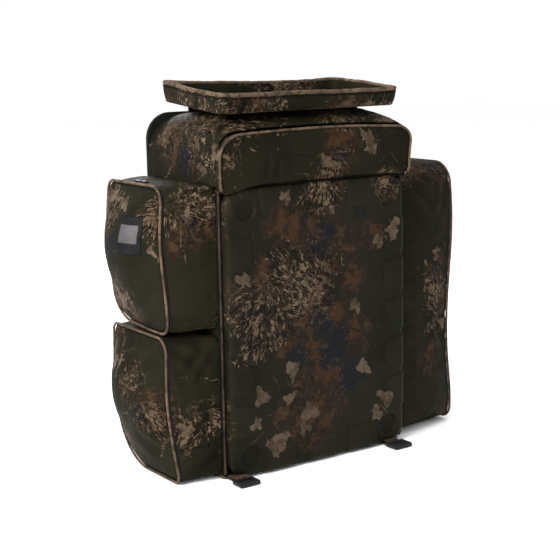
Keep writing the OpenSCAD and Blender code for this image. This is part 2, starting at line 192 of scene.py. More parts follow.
def tube(name, path, radius, materials, closed=False, sides=8, spacing=4.0, squash=1.0):
    """A round cord along a path in millimetres. squash flattens it."""
    path = np.asarray(path, float)
    length = np.linalg.norm(np.diff(path, axis=0), axis=1).sum()
    path = resample(path, max(8, int(length / spacing)), closed)
    count = len(path)
    ahead = np.roll(path, -1, axis=0) - np.roll(path, 1, axis=0)
    if not closed:
        ahead[0] = path[1] - path[0]
        ahead[-1] = path[-1] - path[-2]
    ahead /= np.linalg.norm(ahead, axis=1)[:, None]
    out = Vector(ahead[0]).orthogonal().normalized()
    rings = []
    for k in range(count):
        direction = Vector(ahead[k])
        out = (out - direction * out.dot(direction)).normalized()
        across = direction.cross(out)
        rings.append([
            path[k] + radius * (math.cos(t) * np.array(out) + squash * math.sin(t) * np.array(across))
            for t in np.linspace(0, 2 * math.pi, sides + 1)[:-1]
        ])
    if closed:
        points = [p for ring in rings for p in ring]
        faces = grid_faces(count, sides, wrap=True)
        last = (count - 1) * sides
        end = np.array(rings[-1][0])
        drift = min(range(sides), key=lambda s: np.linalg.norm(end - np.array(rings[0][s])))
        for c in range(sides):
            after = (c + 1) % sides
            faces.append((last + c, last + after, (after + drift) % sides, (c + drift) % sides))
        return make_mesh(name, points, faces, materials)
    return make_mesh(name, *closed_loft(rings), materials)


def ribbon(name, path, across, width, thick, materials):
    """Flat webbing along a path. across is the width's direction, one for all points or one for each."""
    path = np.asarray(path, float)
    across = np.broadcast_to(np.asarray(across, float), path.shape)
    ahead = np.gradient(path, axis=0)
    up = np.cross(ahead, across)
    up /= np.linalg.norm(up, axis=1)[:, None]
    profile = [
        (-0.5, -0.3), (-0.47, -0.5), (0.47, -0.5), (0.5, -0.3),
        (0.5, 0.3), (0.47, 0.5), (-0.47, 0.5), (-0.5, 0.3),
    ]
    rings = [[p + a * s * width + u * t * thick for s, t in profile] for p, a, u in zip(path, across, up)]
    return make_mesh(name, *closed_loft(rings), materials, smooth=False)


def joined(name, pieces):
    """Several objects made into one."""
    work = bmesh.new()
    materials = []
    for piece in pieces:
        start = len(work.faces)
        work.from_mesh(piece.data)
        work.faces.ensure_lookup_table()
        slots = []
        for material in piece.data.materials:
            if material not in materials:
                materials.append(material)
            slots.append(materials.index(material))
        for face in work.faces[start:]:
            face.material_index = slots[face.material_index] if slots else 0
    mesh = bpy.data.meshes.new(name)
    work.to_mesh(mesh)
    work.free()
    for material in materials:
        mesh.materials.append(material)
    for piece in pieces:
        old = piece.data
        bpy.data.objects.remove(piece)
        bpy.data.meshes.remove(old)
    piece = bpy.data.objects.new(name, mesh)
    bpy.context.scene.collection.objects.link(piece)
    return piece


def soft_box(name, low, high, edge, materials, segments=3):
    """A block with rounded edges, in millimetres."""
    work = bmesh.new()
    bmesh.ops.create_cube(work, size=1.0)
    low, high = np.array(low, float), np.array(high, float)
    for vertex in work.verts:
        vertex.co = Vector((low + high) / 2 * MM) + Vector(np.array(vertex.co) * (high - low) * MM)
    edges = list(work.edges)
    bmesh.ops.bevel(work, geom=edges, offset=edge * MM, segments=segments, profile=0.5, affect="EDGES")
    mesh = bpy.data.meshes.new(name)
    work.to_mesh(mesh)
    work.free()
    piece = bpy.data.objects.new(name, mesh)
    bpy.context.scene.collection.objects.link(piece)
    for material in materials:
        mesh.materials.append(material)
    for polygon in mesh.polygons:
        polygon.use_smooth = True
    return piece


def with_modifiers_applied(piece):
    """Replaces the piece's mesh by what its modifiers make of it."""
    graph = bpy.context.evaluated_depsgraph_get()
    mesh = bpy.data.meshes.new_from_object(piece.evaluated_get(graph))
    piece.modifiers.clear()
    piece.data = mesh
    return piece


def thicken(piece, thickness, inner_slot=1):
    """Gives an open sheet a thickness inwards, lined with its second material."""
    solid = piece.modifiers.new("thickness", "SOLIDIFY")
    solid.thickness = thickness * MM
    solid.offset = -1
    solid.use_even_offset = False
    solid.material_offset = inner_slot if len(piece.data.materials) > 1 else 0
    return with_modifiers_applied(piece)


def vertex_array(piece):
    values = np.zeros(len(piece.data.vertices) * 3)
    piece.data.vertices.foreach_get("co", values)
    return values.reshape(-1, 3) / MM


def set_vertices(piece, points):
    piece.data.vertices.foreach_set("co", (points * MM).astype(np.float32).ravel())
    piece.data.update()


def vertex_normals(piece):
    values = np.zeros(len(piece.data.vertices) * 3, np.float32)
    piece.data.vertex_normals.foreach_get("vector", values)
    return values.reshape(-1, 3)


def fold(piece, start, end, depth, width):
    """Presses a crease into a surface from one point to another, with a low ridge on either side."""
    points = vertex_array(piece)
    start, end = np.array(start, float), np.array(end, float)
    along = end - start
    share = np.clip((points - start) @ along / (along @ along), 0, 1)
    away = np.linalg.norm(points - (start + share[:, None] * along), axis=1) / width
    profile = np.exp(-away**2) - 0.55 * np.exp(-(away - 1.9) ** 2)
    strength = np.sin(math.pi * np.clip(share, 0.04, 0.96)) ** 0.5
    set_vertices(piece, points - vertex_normals(piece) * (depth * profile * strength)[:, None])


def distance_to(points, path):
    """Each point's distance to the nearest of a path's points."""
    return np.min([np.linalg.norm(points - p, axis=1) for p in path], axis=0)


def crease(piece, amount, strength):
    """Moves each point along its normal by amount(point) times strength(points)."""
    points = vertex_array(piece)
    normals = vertex_normals(piece)
    moves = np.array([amount(p) for p in points]) * strength(points)
    set_vertices(piece, points + normals * moves[:, None])


# ---------------------------------------------------------------- cloth


def puff(piece, seams, cap, pressure=4.0, voxel=5.0, pin_reach=4.0, frames=20, slack=0.0):
    """Remeshes a closed form, blows it up as cloth with its seams held, and smooths it."""
    remesh = piece.modifiers.new("remesh", "REMESH")
    remesh.mode = "VOXEL"
    remesh.voxel_size = voxel * MM
    remesh.use_smooth_shade = True
    with_modifiers_applied(piece)
    rest = vertex_array(piece)
    hold = np.ones(len(rest))
    for seam in seams:
        hold = np.minimum(hold, ease((distance_to(rest, seam) - pin_reach) / pin_reach))
    group = piece.vertex_groups.new(name="held")
    for index, value in enumerate(1 - hold):
        if value > 0:
            group.add([index], float(value), "REPLACE")
    cloth = piece.modifiers.new("cloth", "CLOTH")
    cloth.settings.quality = 5
    cloth.settings.mass = 0.3
    cloth.settings.tension_stiffness = 12
    cloth.settings.compression_stiffness = 12
    cloth.settings.shear_stiffness = 4
    cloth.settings.bending_stiffness = 0.4
    cloth.settings.use_pressure = True
    cloth.settings.uniform_pressure_force = pressure
    cloth.settings.vertex_group_mass = "held"
    cloth.settings.shrink_min = -slack
    cloth.settings.effector_weights.gravity = 0
    cloth.point_cache.frame_start = 1
    cloth.point_cache.frame_end = frames
    for step in range(1, frames + 1):
        bpy.context.scene.frame_set(step)
    with_modifiers_applied(piece)
    bpy.context.scene.frame_set(1)
    moved = vertex_array(piece) - rest
    length = np.linalg.norm(moved, axis=1)
    moved *= (np.minimum(length, cap) / np.maximum(length, 1e-9))[:, None]
    set_vertices(piece, rest + moved)
    piece.vertex_groups.clear()
    relax = piece.modifiers.new("relax", "SMOOTH")
    relax.factor = 0.5
    relax.iterations = 3
    with_modifiers_applied(piece)
    for polygon in piece.data.polygons:
        polygon.use_smooth = True
    return piece


def cut_in_two(piece, name, point, normal):
    """Splits a form at a plane. The piece keeps what is behind it, and a new object gets what is ahead."""
    other = piece.copy()
    other.data = piece.data.copy()
    other.name = name
    bpy.context.scene.collection.objects.link(other)
    for part, is_ahead in ((piece, False), (other, True)):
        work = bmesh.new()
        work.from_mesh(part.data)
        bmesh.ops.bisect_plane(
            work, geom=list(work.verts) + list(work.edges) + list(work.faces), dist=1e-6,
            plane_co=Vector(point) * MM, plane_no=Vector(normal),
            clear_outer=not is_ahead, clear_inner=is_ahead,
        )
        work.to_mesh(part.data)
        work.free()
    return other


# ---------------------------------------------------------------- the camouflage print's motifs

# Places of the print's larger motifs, as (x, y, z, radius) in millimetres, chosen one by one.
FRONT = DOOR_LOW[1]
POCKET = span("left_upper_shell")[0][1] + 6
OUTER = span("left_upper_face")[0][0]
SIDE = -SIDE_X
LEAVES = [
    (-153, FRONT, 332, 17), (155, FRONT, 386, 20), (126, FRONT, 366, 14), (-72, FRONT, 458, 14),
    (140, FRONT, 86, 19), (120, FRONT, 62, 16), (-26, FRONT, 90, 23), (-124, FRONT, 132, 18),
    (-137, FRONT, 89, 15), (-95, FRONT, 48, 25), (-67, FRONT, 122, 14), (-60, FRONT, 170, 18),
    (72, FRONT, 261, 14), (90, FRONT, 150, 16), (-35, FRONT, 65, 14),
    (98, FRONT, 545, 18), (106, FRONT, 526, 15), (10, FRONT, 512, 13),
    (-196, POCKET, 453, 14), (-232, POCKET, 444, 12), (-246, POCKET, 93, 14), (-208, POCKET, 119, 11),
    (OUTER, 0, 455, 14), (OUTER, -75, 386, 12), (OUTER, -90, 372, 12),
    (OUTER, 40, 190, 16), (OUTER, 50, 330, 12),
    (284, POCKET, 324, 15), (256, POCKET, 308, 12), (309, POCKET, 191, 15), (264, POCKET, 275, 13),
    (SIDE, -116, 533, 18), (SIDE, 34, 585, 15), (SIDE, -77, 507, 15), (SIDE, -60, 545, 14),
]
TWIGS = [
    (-12, FRONT, 312, 62), (-125, FRONT, 262, 72), (0, FRONT, 462, 48), (140, FRONT, 466, 34),
    (-75, FRONT, 345, 42), (-45, FRONT, 285, 45), (20, FRONT, 496, 30), (-130, -60, 590, 85),
    (-215, POCKET, 455, 42), (-190, POCKET, 440, 30), (-206, POCKET, 98, 44), (-241, POCKET, 78, 32),
    (OUTER, -85, 440, 40), (OUTER, -20, 163, 34), (OUTER, -60, 110, 36), (OUTER, 60, 60, 40),
    (284, POCKET, 254, 42), (272, POCKET, 190, 26), (SIDE, -60, 550, 46), (SIDE, -110, 530, 34),
    (-165, FRONT, 612, 34), (-95, FRONT, 610, 24), (SIDE, 60, 560, 40),
]
RUSTS = [
    (-61, FRONT, 410, 38), (61, FRONT, 228, 23), (-14, FRONT, 192, 27), (27, FRONT, 107, 27),
    (-36, FRONT, 139, 24), (52, FRONT, 378, 27), (-48, FRONT, 72, 24), (110, FRONT, 376, 22),
    (-27, FRONT, 41, 20), (-112, FRONT, 335, 26), (-78, FRONT, 95, 24), (-10, FRONT, 250, 40),
    (45, FRONT, 544, 30), (30, FRONT, 505, 32), (-220, POCKET, 420, 34), (-188, POCKET, 405, 26),
    (-250, POCKET, 410, 22), (OUTER, -75, 433, 24), (OUTER, -60, 137, 30), (OUTER, -80, 98, 26),
    (270, POCKET, 153, 24), (290, POCKET, 291, 26), (258, POCKET, 118, 20), (309, POCKET, 228, 26),
    (310, POCKET, 30, 18), (SIDE, 24, 533, 28), (SIDE, 50, 552, 26), (SIDE, -38, 518, 26),
    (-160, 20, 590, 40), (-110, FRONT, 615, 24),
    (0, FRONT, 150, 46), (-20, FRONT, 395, 46), (35, FRONT, 255, 38),
    (-10, FRONT, 95, 42), (70, FRONT, 205, 32),
    (5, FRONT, 330, 40), (60, FRONT, 310, 30), (-85, FRONT, 215, 30),
]
NAVIES = [
    (35, FRONT, 214, 27), (71, FRONT, 151, 27), (7, FRONT, 172, 23), (10, FRONT, 393, 22),
    (38, FRONT, 185, 24), (-49, FRONT, 188, 22), (0, FRONT, 235, 26), (85, FRONT, 420, 16),
    (OUTER, -40, 118, 22), (289, POCKET, 300, 18), (284, POCKET, 218, 20), (SIDE, -15, 519, 28),
    (-228, POCKET, 432, 20), (40, FRONT, 520, 18), (20, FRONT, 190, 30),
    (-10, FRONT, 370, 28), (60, FRONT, 130, 24),
]


def scattered_motifs():
    """More motifs for the sides that the list leaves out: the back halves, the right side and the top."""
    draw = random.Random(11)
    regions = [
        ((SIDE_X + 150, -70, 30), (SIDE_X + 156, 90, 470)),
        ((OUTER - 4, 20, 20), (OUTER + 4, 90, 470)),
        ((-320, 96, 20), (320, 108, 470)),
        ((-150, 10, 588), (150, 100, 596)),
        ((SIDE_X, -60, 490), (SIDE_X + 4, 100, 570)),
        ((-160, -20, 606), (160, 60, 626)),
        ((SIDE_X, -90, 486), (SIDE_X + 140, 80, 492)),
        ((60, -110, 580), (170, 0, 592)),
    ]
    kinds = ((LEAVES, 12, 20, 9), (TWIGS, 30, 50, 5), (RUSTS, 20, 32, 7), (NAVIES, 16, 26, 4))
    for low, high in regions:
        centres = [[draw.uniform(a, b) for a, b in zip(low, high)] for _ in range(3)]
        for spots, smallest, largest, count in kinds:
            for _ in range(count):
                centre = draw.choice(centres)
                place = [min(max(draw.gauss(c, 42), a), b) for c, a, b in zip(centre, low, high)]
                spots.append((*place, draw.uniform(smallest, largest)))


def across_and_up(normals):
    """Two directions along the surface at each point: across, and up or backwards."""
    up = np.where(np.abs(normals[:, 2:]) < 0.8, (0.0, 0, 1), (0.0, 1, 0))
    right = np.cross(up, normals)
    right /= np.maximum(np.linalg.norm(right, axis=1), 1e-9)[:, None]
    return right, np.cross(normals, right)


def print_motifs(piece):
    """Writes where each point lies in the motifs near it.
    Rust and navy get a nearness: 1 in the middle, 0 at the edge. Leaves and twigs get the point's own
    place across and up the nearest motif, in radii, and a number that varies the motif."""
    points = vertex_array(piece)
    normals = vertex_normals(piece)
    for name, spots in (("rust", RUSTS), ("navy", NAVIES)):
        nearness = np.full(len(points), -1.0)
        for x, y, z, radius in spots:
            away = np.linalg.norm(points - (x, y, z), axis=1)
            nearness = np.maximum(nearness, 1 - away / radius)
        attribute = piece.data.attributes.new(name, "FLOAT", "POINT")
        attribute.data.foreach_set("value", nearness.astype(np.float32))
    right, up = across_and_up(normals)
    for name, spots in (("leaf", LEAVES), ("twig", TWIGS)):
        places = np.full((len(points), 3), 9.0)
        nearest = np.full(len(points), 2.2)
        for x, y, z, radius in spots:
            offset = (points - (x, y, z)) / radius
            away = np.linalg.norm(offset, axis=1)
            if away.min() > 2.2:
                continue
            turn = x * 0.37 + y * 0.53 + z * 0.71
            across, along = (offset * right).sum(axis=1), (offset * up).sum(axis=1)
            stretch = away / np.maximum(np.hypot(across, along), 1e-6)
            across, along = across * stretch, along * stretch
            chosen = away < nearest
            nearest[chosen] = away[chosen]
            turned = np.stack([
                across * math.cos(turn) - along * math.sin(turn),
                across * math.sin(turn) + along * math.cos(turn),
                np.full(len(points), turn % 7),
            ], axis=1)
            places[chosen] = turned[chosen]
        attribute = piece.data.attributes.new(name, "FLOAT_VECTOR", "POINT")
        attribute.data.foreach_set("vector", places.astype(np.float32).ravel())


# ---------------------------------------------------------------- materials


class Graph:
    """A short way to write a material's nodes."""

    def __init__(self, name):
        self.material = bpy.data.materials.new(name)
        self.material.use_nodes = True
        self.tree = self.material.node_tree
        self.shader = self.tree.nodes["Principled BSDF"]

    def node(self, kind, inputs=None, **settings):
        made = self.tree.nodes.new("ShaderNode" + kind)
        for key, value in settings.items():
            setattr(made, key, value)
        for key, value in (inputs or {}).items():
            self.put(made.inputs[key], value)
        return made

    def put(self, socket, value):
        if isinstance(value, bpy.types.NodeSocket):
            self.tree.links.new(value, socket)
        else:
            socket.default_value = value

    def sum(self, kind, first, second=0.0, third=0.0):
        made = self.node("Math", operation=kind)
        for socket, value in zip(made.inputs, (first, second, third)):
            self.put(socket, value)
        return made.outputs[0]

    def place(self):
        return self.node("TexCoord").outputs["Object"]

    def noise(self, place, scale, detail=3.0, distortion=0.0, roughness=0.5):
        inputs = {"Vector": place, "Scale": scale, "Detail": detail}
        inputs.update({"Distortion": distortion, "Roughness": roughness})
        return self.node("TexNoise", inputs)

    def shifted(self, place, scale, reach, detail=3.0):
        """The place moved about by noise, by up to reach metres."""
        colour = self.noise(place, scale, detail).outputs["Color"]
        centred = self.node("VectorMath", {0: colour, 1: (0.5, 0.5, 0.5)}, operation="SUBTRACT").outputs[0]
        scaled = self.node("VectorMath", {0: centred, "Scale": reach * 2}, operation="SCALE").outputs[0]
        return self.node("VectorMath", {0: place, 1: scaled}, operation="ADD").outputs[0]

    def shifted_local(self, attribute, place, reach):
        """A motif's own coordinates, moved about by noise, by up to reach radii."""
        colour = self.noise(place, 60, 4, 0.5).outputs["Color"]
        centred = self.node("VectorMath", {0: colour, 1: (0.5, 0.5, 0.5)}, operation="SUBTRACT").outputs[0]
        size = (reach * 2, reach * 2, 0)
        scaled = self.node("VectorMath", {0: centred, 1: size}, operation="MULTIPLY").outputs[0]
        source = self.node("Attribute", attribute_name=attribute).outputs["Vector"]
        return self.node("VectorMath", {0: source, 1: scaled}, operation="ADD").outputs[0]

    def between(self, value, low, high):
        """0 below low, 1 above high."""
        inputs = {"Value": value, "From Min": low, "From Max": high}
        return self.node("MapRange", inputs, interpolation_type="SMOOTHSTEP").outputs[0]

    def mix(self, share, first, second):
        made = self.node("Mix", data_type="RGBA")
        for socket, value in ((made.inputs[0], share), (made.inputs[6], first), (made.inputs[7], second)):
            self.put(socket, value)
        return made.outputs[2]

    def attribute(self, name):
        return self.node("Attribute", attribute_name=name).outputs["Fac"]

    def weave(self, place, pitch):
        """Threads that cross: a height from 0 to 1 on any face that lies along the axes."""
        axes = self.node("SeparateXYZ", {0: place})
        turns = 2 * math.pi / pitch
        waves = [self.sum("SINE", self.sum("MULTIPLY", axes.outputs[k], turns)) for k in range(3)]
        return self.sum("ADD", self.sum("ADD", waves[0], waves[1]), waves[2])

    def bump(self, height, strength, distance, under=None):
        inputs = {"Height": height, "Strength": strength, "Distance": distance}
        if under is not None:
            inputs["Normal"] = under
        return self.node("Bump", inputs).outputs[0]

    def finish(self, colour, roughness, normal, sheen=0.0, specular=0.4, ior=1.3):
        self.put(self.shader.inputs["Base Color"], colour)
        self.put(self.shader.inputs["Roughness"], roughness)
        self.put(self.shader.inputs["Normal"], normal)
        self.shader.inputs["Sheen Weight"].default_value = sheen
        self.shader.inputs["Sheen Roughness"].default_value = 0.45
        self.shader.inputs["Specular IOR Level"].default_value = specular
        self.shader.inputs["IOR"].default_value = ior
        return self.material


def rgb(red, green, blue):
    return (red, green, blue, 1.0)


OLIVE = ((0.0060, 0.0055, 0.0025), (0.0108, 0.0097, 0.0048))
CHOCOLATE = ((0.0130, 0.0078, 0.0048), (0.0360, 0.0165, 0.0068))
NAVY = ((0.0040, 0.0040, 0.0052), (0.0072, 0.0078, 0.0125))
BARK = ((0.0042, 0.0030, 0.0019), (0.0200, 0.0125, 0.0075))
STRAW = ((0.0380, 0.0235, 0.0140), (0.1150, 0.0800, 0.0500))
DEAD_LEAF = ((0.0440, 0.0290, 0.0185), (0.0820, 0.0600, 0.0410))


def polar(g, place, shift=0.0):
    """Distance from a motif's middle, the direction to the point as a place on a circle and as an angle,
    and the motif's own number. shift moves the middle aside."""
    axes = g.node("SeparateXYZ", {0: place}).outputs
    flat = g.node("CombineXYZ", {0: g.sum("ADD", axes[0], shift), 1: axes[1], 2: 0.0}).outputs[0]
    away = g.node("VectorMath", {0: flat}, operation="LENGTH").outputs["Value"]
    direction = g.node("VectorMath", {0: flat}, operation="NORMALIZE").outputs[0]
    return away, direction, g.sum("ARCTAN2", axes[1], axes[0]), axes[2]


def rays(g, away, direction, variant, around, outward, scale, detail=3.0):
    """Noise in streaks that run out from a motif's middle."""
    ring = g.node("VectorMath", {0: direction, "Scale": around}, operation="SCALE").outputs[0]
    along = g.sum("MULTIPLY_ADD", away, outward, variant)
    depth = g.node("CombineXYZ", {0: 0.0, 1: 0.0, 2: along}).outputs[0]
    place = g.node("VectorMath", {0: ring, 1: depth}, operation="ADD").outputs[0]
    return g.noise(place, scale, detail, 0.35, 0.6).outputs["Fac"]


def camouflage(name, pitch, roughness, light=1.0, relief=1.0, specular=0.08):
    """Coated cloth with a print of leaves and twigs over plain olive."""
    g = Graph(name)
    place = g.place()
    near = g.shifted(place, 30, 0.009)
    ragged = g.shifted(near, 120, 0.005)

    def tones(pair):
        return [rgb(*(value * light for value in tone)) for tone in pair]

    def off_centre(value, gain, base):
        return g.sum("MULTIPLY_ADD", g.sum("SUBTRACT", value, 0.5), gain, base)

    mottle = g.noise(place, 8, 6, 0.4).outputs["Fac"]
    colour = g.mix(g.between(mottle, 0.30, 0.70), *tones(OLIVE))
    cloud = g.noise(near, 17, 5, 0.8).outputs["Fac"]
    grain = g.noise(ragged, 75, 5, 0.6).outputs["Fac"]
    fleck = g.noise(ragged, 170, 3, 0.5).outputs["Fac"]

    twig_place = g.shifted_local("twig", ragged, 0.15)
    twig_away, _, _, twig_kind = polar(g, twig_place)
    fan_away, fan_way, _, _ = polar(g, twig_place, 1.0)
    ground = off_centre(cloud, 2.4, g.sum("SUBTRACT", 0.95, twig_away))
    broken = g.sum("MULTIPLY", g.between(ground, 0.0, 0.16), g.between(grain, 0.38, 0.48))
    colour = g.mix(g.sum("MULTIPLY", broken, 0.75), colour, tones(BARK)[1])

    muddle_field = off_centre(grain, 1.2, off_centre(cloud, 2.4, g.attribute("rust")))
    streaks = g.noise(g.shifted(ragged, 90, 0.004), 55, 4, 1.6).outputs["Fac"]
    muddle = g.mix(g.between(streaks, 0.44, 0.56), tones(CHOCOLATE)[0], tones(BARK)[1])
    covered = g.sum("MULTIPLY", g.between(muddle_field, -0.35, -0.15), g.between(grain, 0.40, 0.50))
    colour = g.mix(g.sum("MULTIPLY", covered, 0.9), colour, muddle)

    rust_field = off_centre(grain, 1.9, off_centre(cloud, 1.6, g.attribute("rust")))
    rust = g.mix(g.between(g.noise(ragged, 45, 4).outputs["Fac"], 0.42, 0.60), *tones(CHOCOLATE))
    colour = g.mix(g.sum("MULTIPLY", g.between(rust_field, 0.16, 0.26), 0.92), colour, rust)

    navy_field = off_centre(streaks, 1.6, off_centre(grain, 2.0, off_centre(cloud, 1.6, g.attribute("navy"))))
    navy = g.mix(g.between(fleck, 0.38, 0.58), *tones(NAVY))
    colour = g.mix(g.sum("MULTIPLY", g.between(navy_field, 0.12, 0.22), 0.85), colour, navy)

    fine_rays = rays(g, fan_away, fan_way, twig_kind, 10.0, 1.1, 2.2, 2.5)
    gap_rays = rays(g, fan_away, fan_way, twig_kind, 6.0, 1.0, 2.2)
    dark_share = g.between(g.sum("MULTIPLY_ADD", twig_away, -0.16, gap_rays), 0.40, 0.44)
    colour = g.mix(g.sum("MULTIPLY", dark_share, g.between(twig_away, 1.15, 0.95)), colour, tones(BARK)[0])
    straw = g.mix(g.between(g.sum("ADD", fleck, g.sum("SUBTRACT", grain, 0.5)), 0.40, 0.56), *tones(STRAW))
    strands = g.sum("MULTIPLY_ADD", twig_away, -0.17, off_centre(fleck, 0.40, fine_rays))
    bright_share = g.between(strands, 0.445, 0.47)
    bright_share = g.sum("MULTIPLY", bright_share, g.between(off_centre(grain, 0.5, cloud), 0.36, 0.46))
    colour = g.mix(g.sum("MULTIPLY", bright_share, g.between(twig_away, 1.25, 1.1)), colour, straw)

    leaf_away, _, leaf_turn, leaf_kind = polar(g, g.shifted_local("leaf", ragged, 0.42))
    reach = 0.42
    for folds, offset, size in ((1.5, 1.0, 0.42), (1.0, 1.7, 0.34), (2.5, 2.9, 0.26)):
        turned = g.sum("MULTIPLY_ADD", leaf_turn, folds, g.sum("MULTIPLY", leaf_kind, offset))
        lobe = g.sum("SUBTRACT", 1.0, g.sum("ABSOLUTE", g.sum("SINE", turned)))
        reach = g.sum("MULTIPLY_ADD", lobe, size, reach)
    leaf_field = off_centre(grain, 0.7, g.sum("SUBTRACT", reach, leaf_away))
    lit = g.between(off_centre(fleck, 0.5, off_centre(grain, 0.8, cloud)), 0.40, 0.62)
    colour = g.mix(g.between(leaf_field, 0.02, 0.07), colour, g.mix(lit, *tones(DEAD_LEAF)))
    in_rust = g.between(rust_field, 0.05, 0.35)
    chip = g.sum("MULTIPLY", g.between(off_centre(grain, 1.0, fleck), 0.60, 0.66), in_rust)
    colour = g.mix(g.sum("MULTIPLY", chip, 0.75), colour, tones(STRAW)[0])

    threads = g.weave(place, pitch)
    faded = g.sum("MULTIPLY_ADD", threads, 0.010, 0.035)
    colour = g.mix(faded, colour, rgb(0.030, 0.027, 0.018))
    dull = g.between(g.noise(place, 60, 4).outputs["Fac"], 0.2, 0.8)
    rough = g.sum("MULTIPLY_ADD", dull, 0.16, roughness - 0.08)
    lint = g.noise(place, 900, 2).outputs["Fac"]
    soft = g.bump(g.noise(place, 38, 4).outputs["Fac"], 0.25 * relief, 0.004)
    surface = g.sum("MULTIPLY_ADD", lint, 0.8, g.sum("MULTIPLY", threads, 0.3))
    fine = g.bump(surface, 0.28 * relief, 0.0004, soft)
    return g.finish(colour, rough, fine, specular=specular)


def plain_cloth(name, dark, pale, pitch, roughness=0.75, relief=1.0, sheen=0.0):
    """Woven cloth of one dye, with slight shade changes and a visible weave."""
    g = Graph(name)
    place = g.place()
    threads = g.weave(place, pitch)
    shade = g.sum("MULTIPLY_ADD", threads, 0.08, g.noise(place, 30, 5).outputs["Fac"])
    colour = g.mix(g.between(shade, 0.25, 0.75), dark, pale)
    soft = g.bump(g.noise(place, 45, 4).outputs["Fac"], 0.30, 0.003)
    fine = g.bump(threads, 0.45 * relief, 0.0006, soft)
    rough = g.sum("MULTIPLY_ADD", shade, 0.12, roughness - 0.06)
    return g.finish(colour, rough, fine, sheen=sheen, specular=0.1)


def air_mesh(name):
    """Spacer mesh: rows of small holes over foam, the holes painted near black as shade."""
    g = Graph(name)
    place = g.place()
    holes = g.node("TexVoronoi", {"Vector": place, "Scale": 260.0, "Randomness": 0.25})
    depth = g.between(holes.outputs["Distance"], 0.18, 0.42)
    shade = g.noise(place, 25, 4).outputs["Fac"]
    cloth = g.mix(g.between(shade, 0.3, 0.7), rgb(0.010, 0.010, 0.011), rgb(0.018, 0.018, 0.019))
    # The holes are painted near black: painted shade down in them.
    colour = g.mix(depth, rgb(0.004, 0.004, 0.004), cloth)
    soft = g.bump(shade, 0.3, 0.004)
    rough = g.sum("MULTIPLY_ADD", depth, -0.15, 0.85)
    return g.finish(colour, rough, g.bump(depth, 0.8, 0.0012, soft), sheen=0.03, specular=0.2)


def moulded_plastic(name, tone=0.006, roughness=0.45):
    g = Graph(name)
    place = g.place()
    grain = g.noise(place, 700, 3).outputs["Fac"]
    wear = g.noise(place, 60, 5).outputs["Fac"]
    worn = rgb(tone * 2.2, tone * 2.2, tone * 2.3)
    colour = g.mix(g.between(wear, 0.35, 0.75), rgb(tone, tone, tone), worn)
    rough = g.sum("MULTIPLY_ADD", wear, 0.2, roughness - 0.1)
    return g.finish(colour, rough, g.bump(grain, 0.25, 0.0003), specular=0.35)


def bound_edge(name, light=1.0):
    """A folded strip of the print over a cord: mostly pale, with dark and brown marks."""
    g = Graph(name)
    place = g.place()

    def tone(red, green, blue):
        return rgb(red * light, green * light, blue * light)

    marks = g.noise(g.shifted(place, 40, 0.01), 42, 4, 0.8).outputs["Fac"]
    threads = g.weave(place, 0.0011)
    patches = g.between(g.noise(place, 25, 3).outputs["Fac"], 0.4, 0.6)
    pale = g.mix(patches, tone(0.110, 0.074, 0.048), tone(0.066, 0.045, 0.030))
    colour = g.mix(g.between(marks, 0.53, 0.60), pale, tone(0.034, 0.026, 0.017))
    colour = g.mix(g.between(marks, 0.42, 0.36), colour, tone(0.060, 0.031, 0.019))
    colour = g.mix(g.sum("MULTIPLY_ADD", threads, 0.03, 0.07), colour, tone(0.130, 0.096, 0.064))
    fine = g.bump(g.sum("MULTIPLY_ADD", threads, 0.4, marks), 0.4, 0.0005)
    return g.finish(colour, g.sum("MULTIPLY_ADD", marks, 0.2, 0.55), fine, specular=0.12)


def pale_floor(name):
    g = Graph(name)
    place = g.place()
    cloud = g.noise(place, 3, 2).outputs["Fac"]
    colour = g.mix(cloud, rgb(0.975, 0.975, 0.975), rgb(0.99, 0.99, 0.99))
    return g.finish(colour, 0.9, g.bump(g.noise(place, 300, 2).outputs["Fac"], 0.02, 0.0005), specular=0.1)


CAMO = camouflage("camo_cloth", 0.0012, 0.62)
MOULDED = camouflage("moulded_camo", 0.0010, 0.50, light=0.90, relief=0.7, specular=0.12)
LINING = plain_cloth("lining_cloth", rgb(0.0075, 0.0078, 0.0062), rgb(0.0135, 0.0138, 0.0112), 0.0014)
MESH = air_mesh("air_mesh")
BINDING = bound_edge("camo_binding")
# Near-black cloth for the thin cords of painted shadow in gaps, beside piping and under the tray's rim.
GAP_SHADOW = plain_cloth("seam_shadow", rgb(0.0035, 0.0032, 0.0025), rgb(0.0070, 0.0062, 0.0048), 0.0012)
TAPE = plain_cloth("zip_tape", rgb(0.005, 0.005, 0.005), rgb(0.010, 0.010, 0.010), 0.0010)
PALE_FIELD = plain_cloth("patch_field", rgb(0.050, 0.045, 0.048), rgb(0.105, 0.098, 0.102), 0.0016)
WEBBING = plain_cloth("black_webbing", rgb(0.007, 0.007, 0.007), rgb(0.016, 0.016, 0.016), 0.0024, relief=1.6)
DARK_BINDING = bound_edge("dark_binding", light=0.40)
CAMO_WEBBING = bound_edge("camo_webbing", light=0.45)
PLASTIC = moulded_plastic("black_plastic")
METAL = moulded_plastic("black_painted_metal", 0.012, 0.35)
RUBBER = moulded_plastic("black_rubber", 0.006, 0.6)

# ---------------------------------------------------------------- camera, light and floor


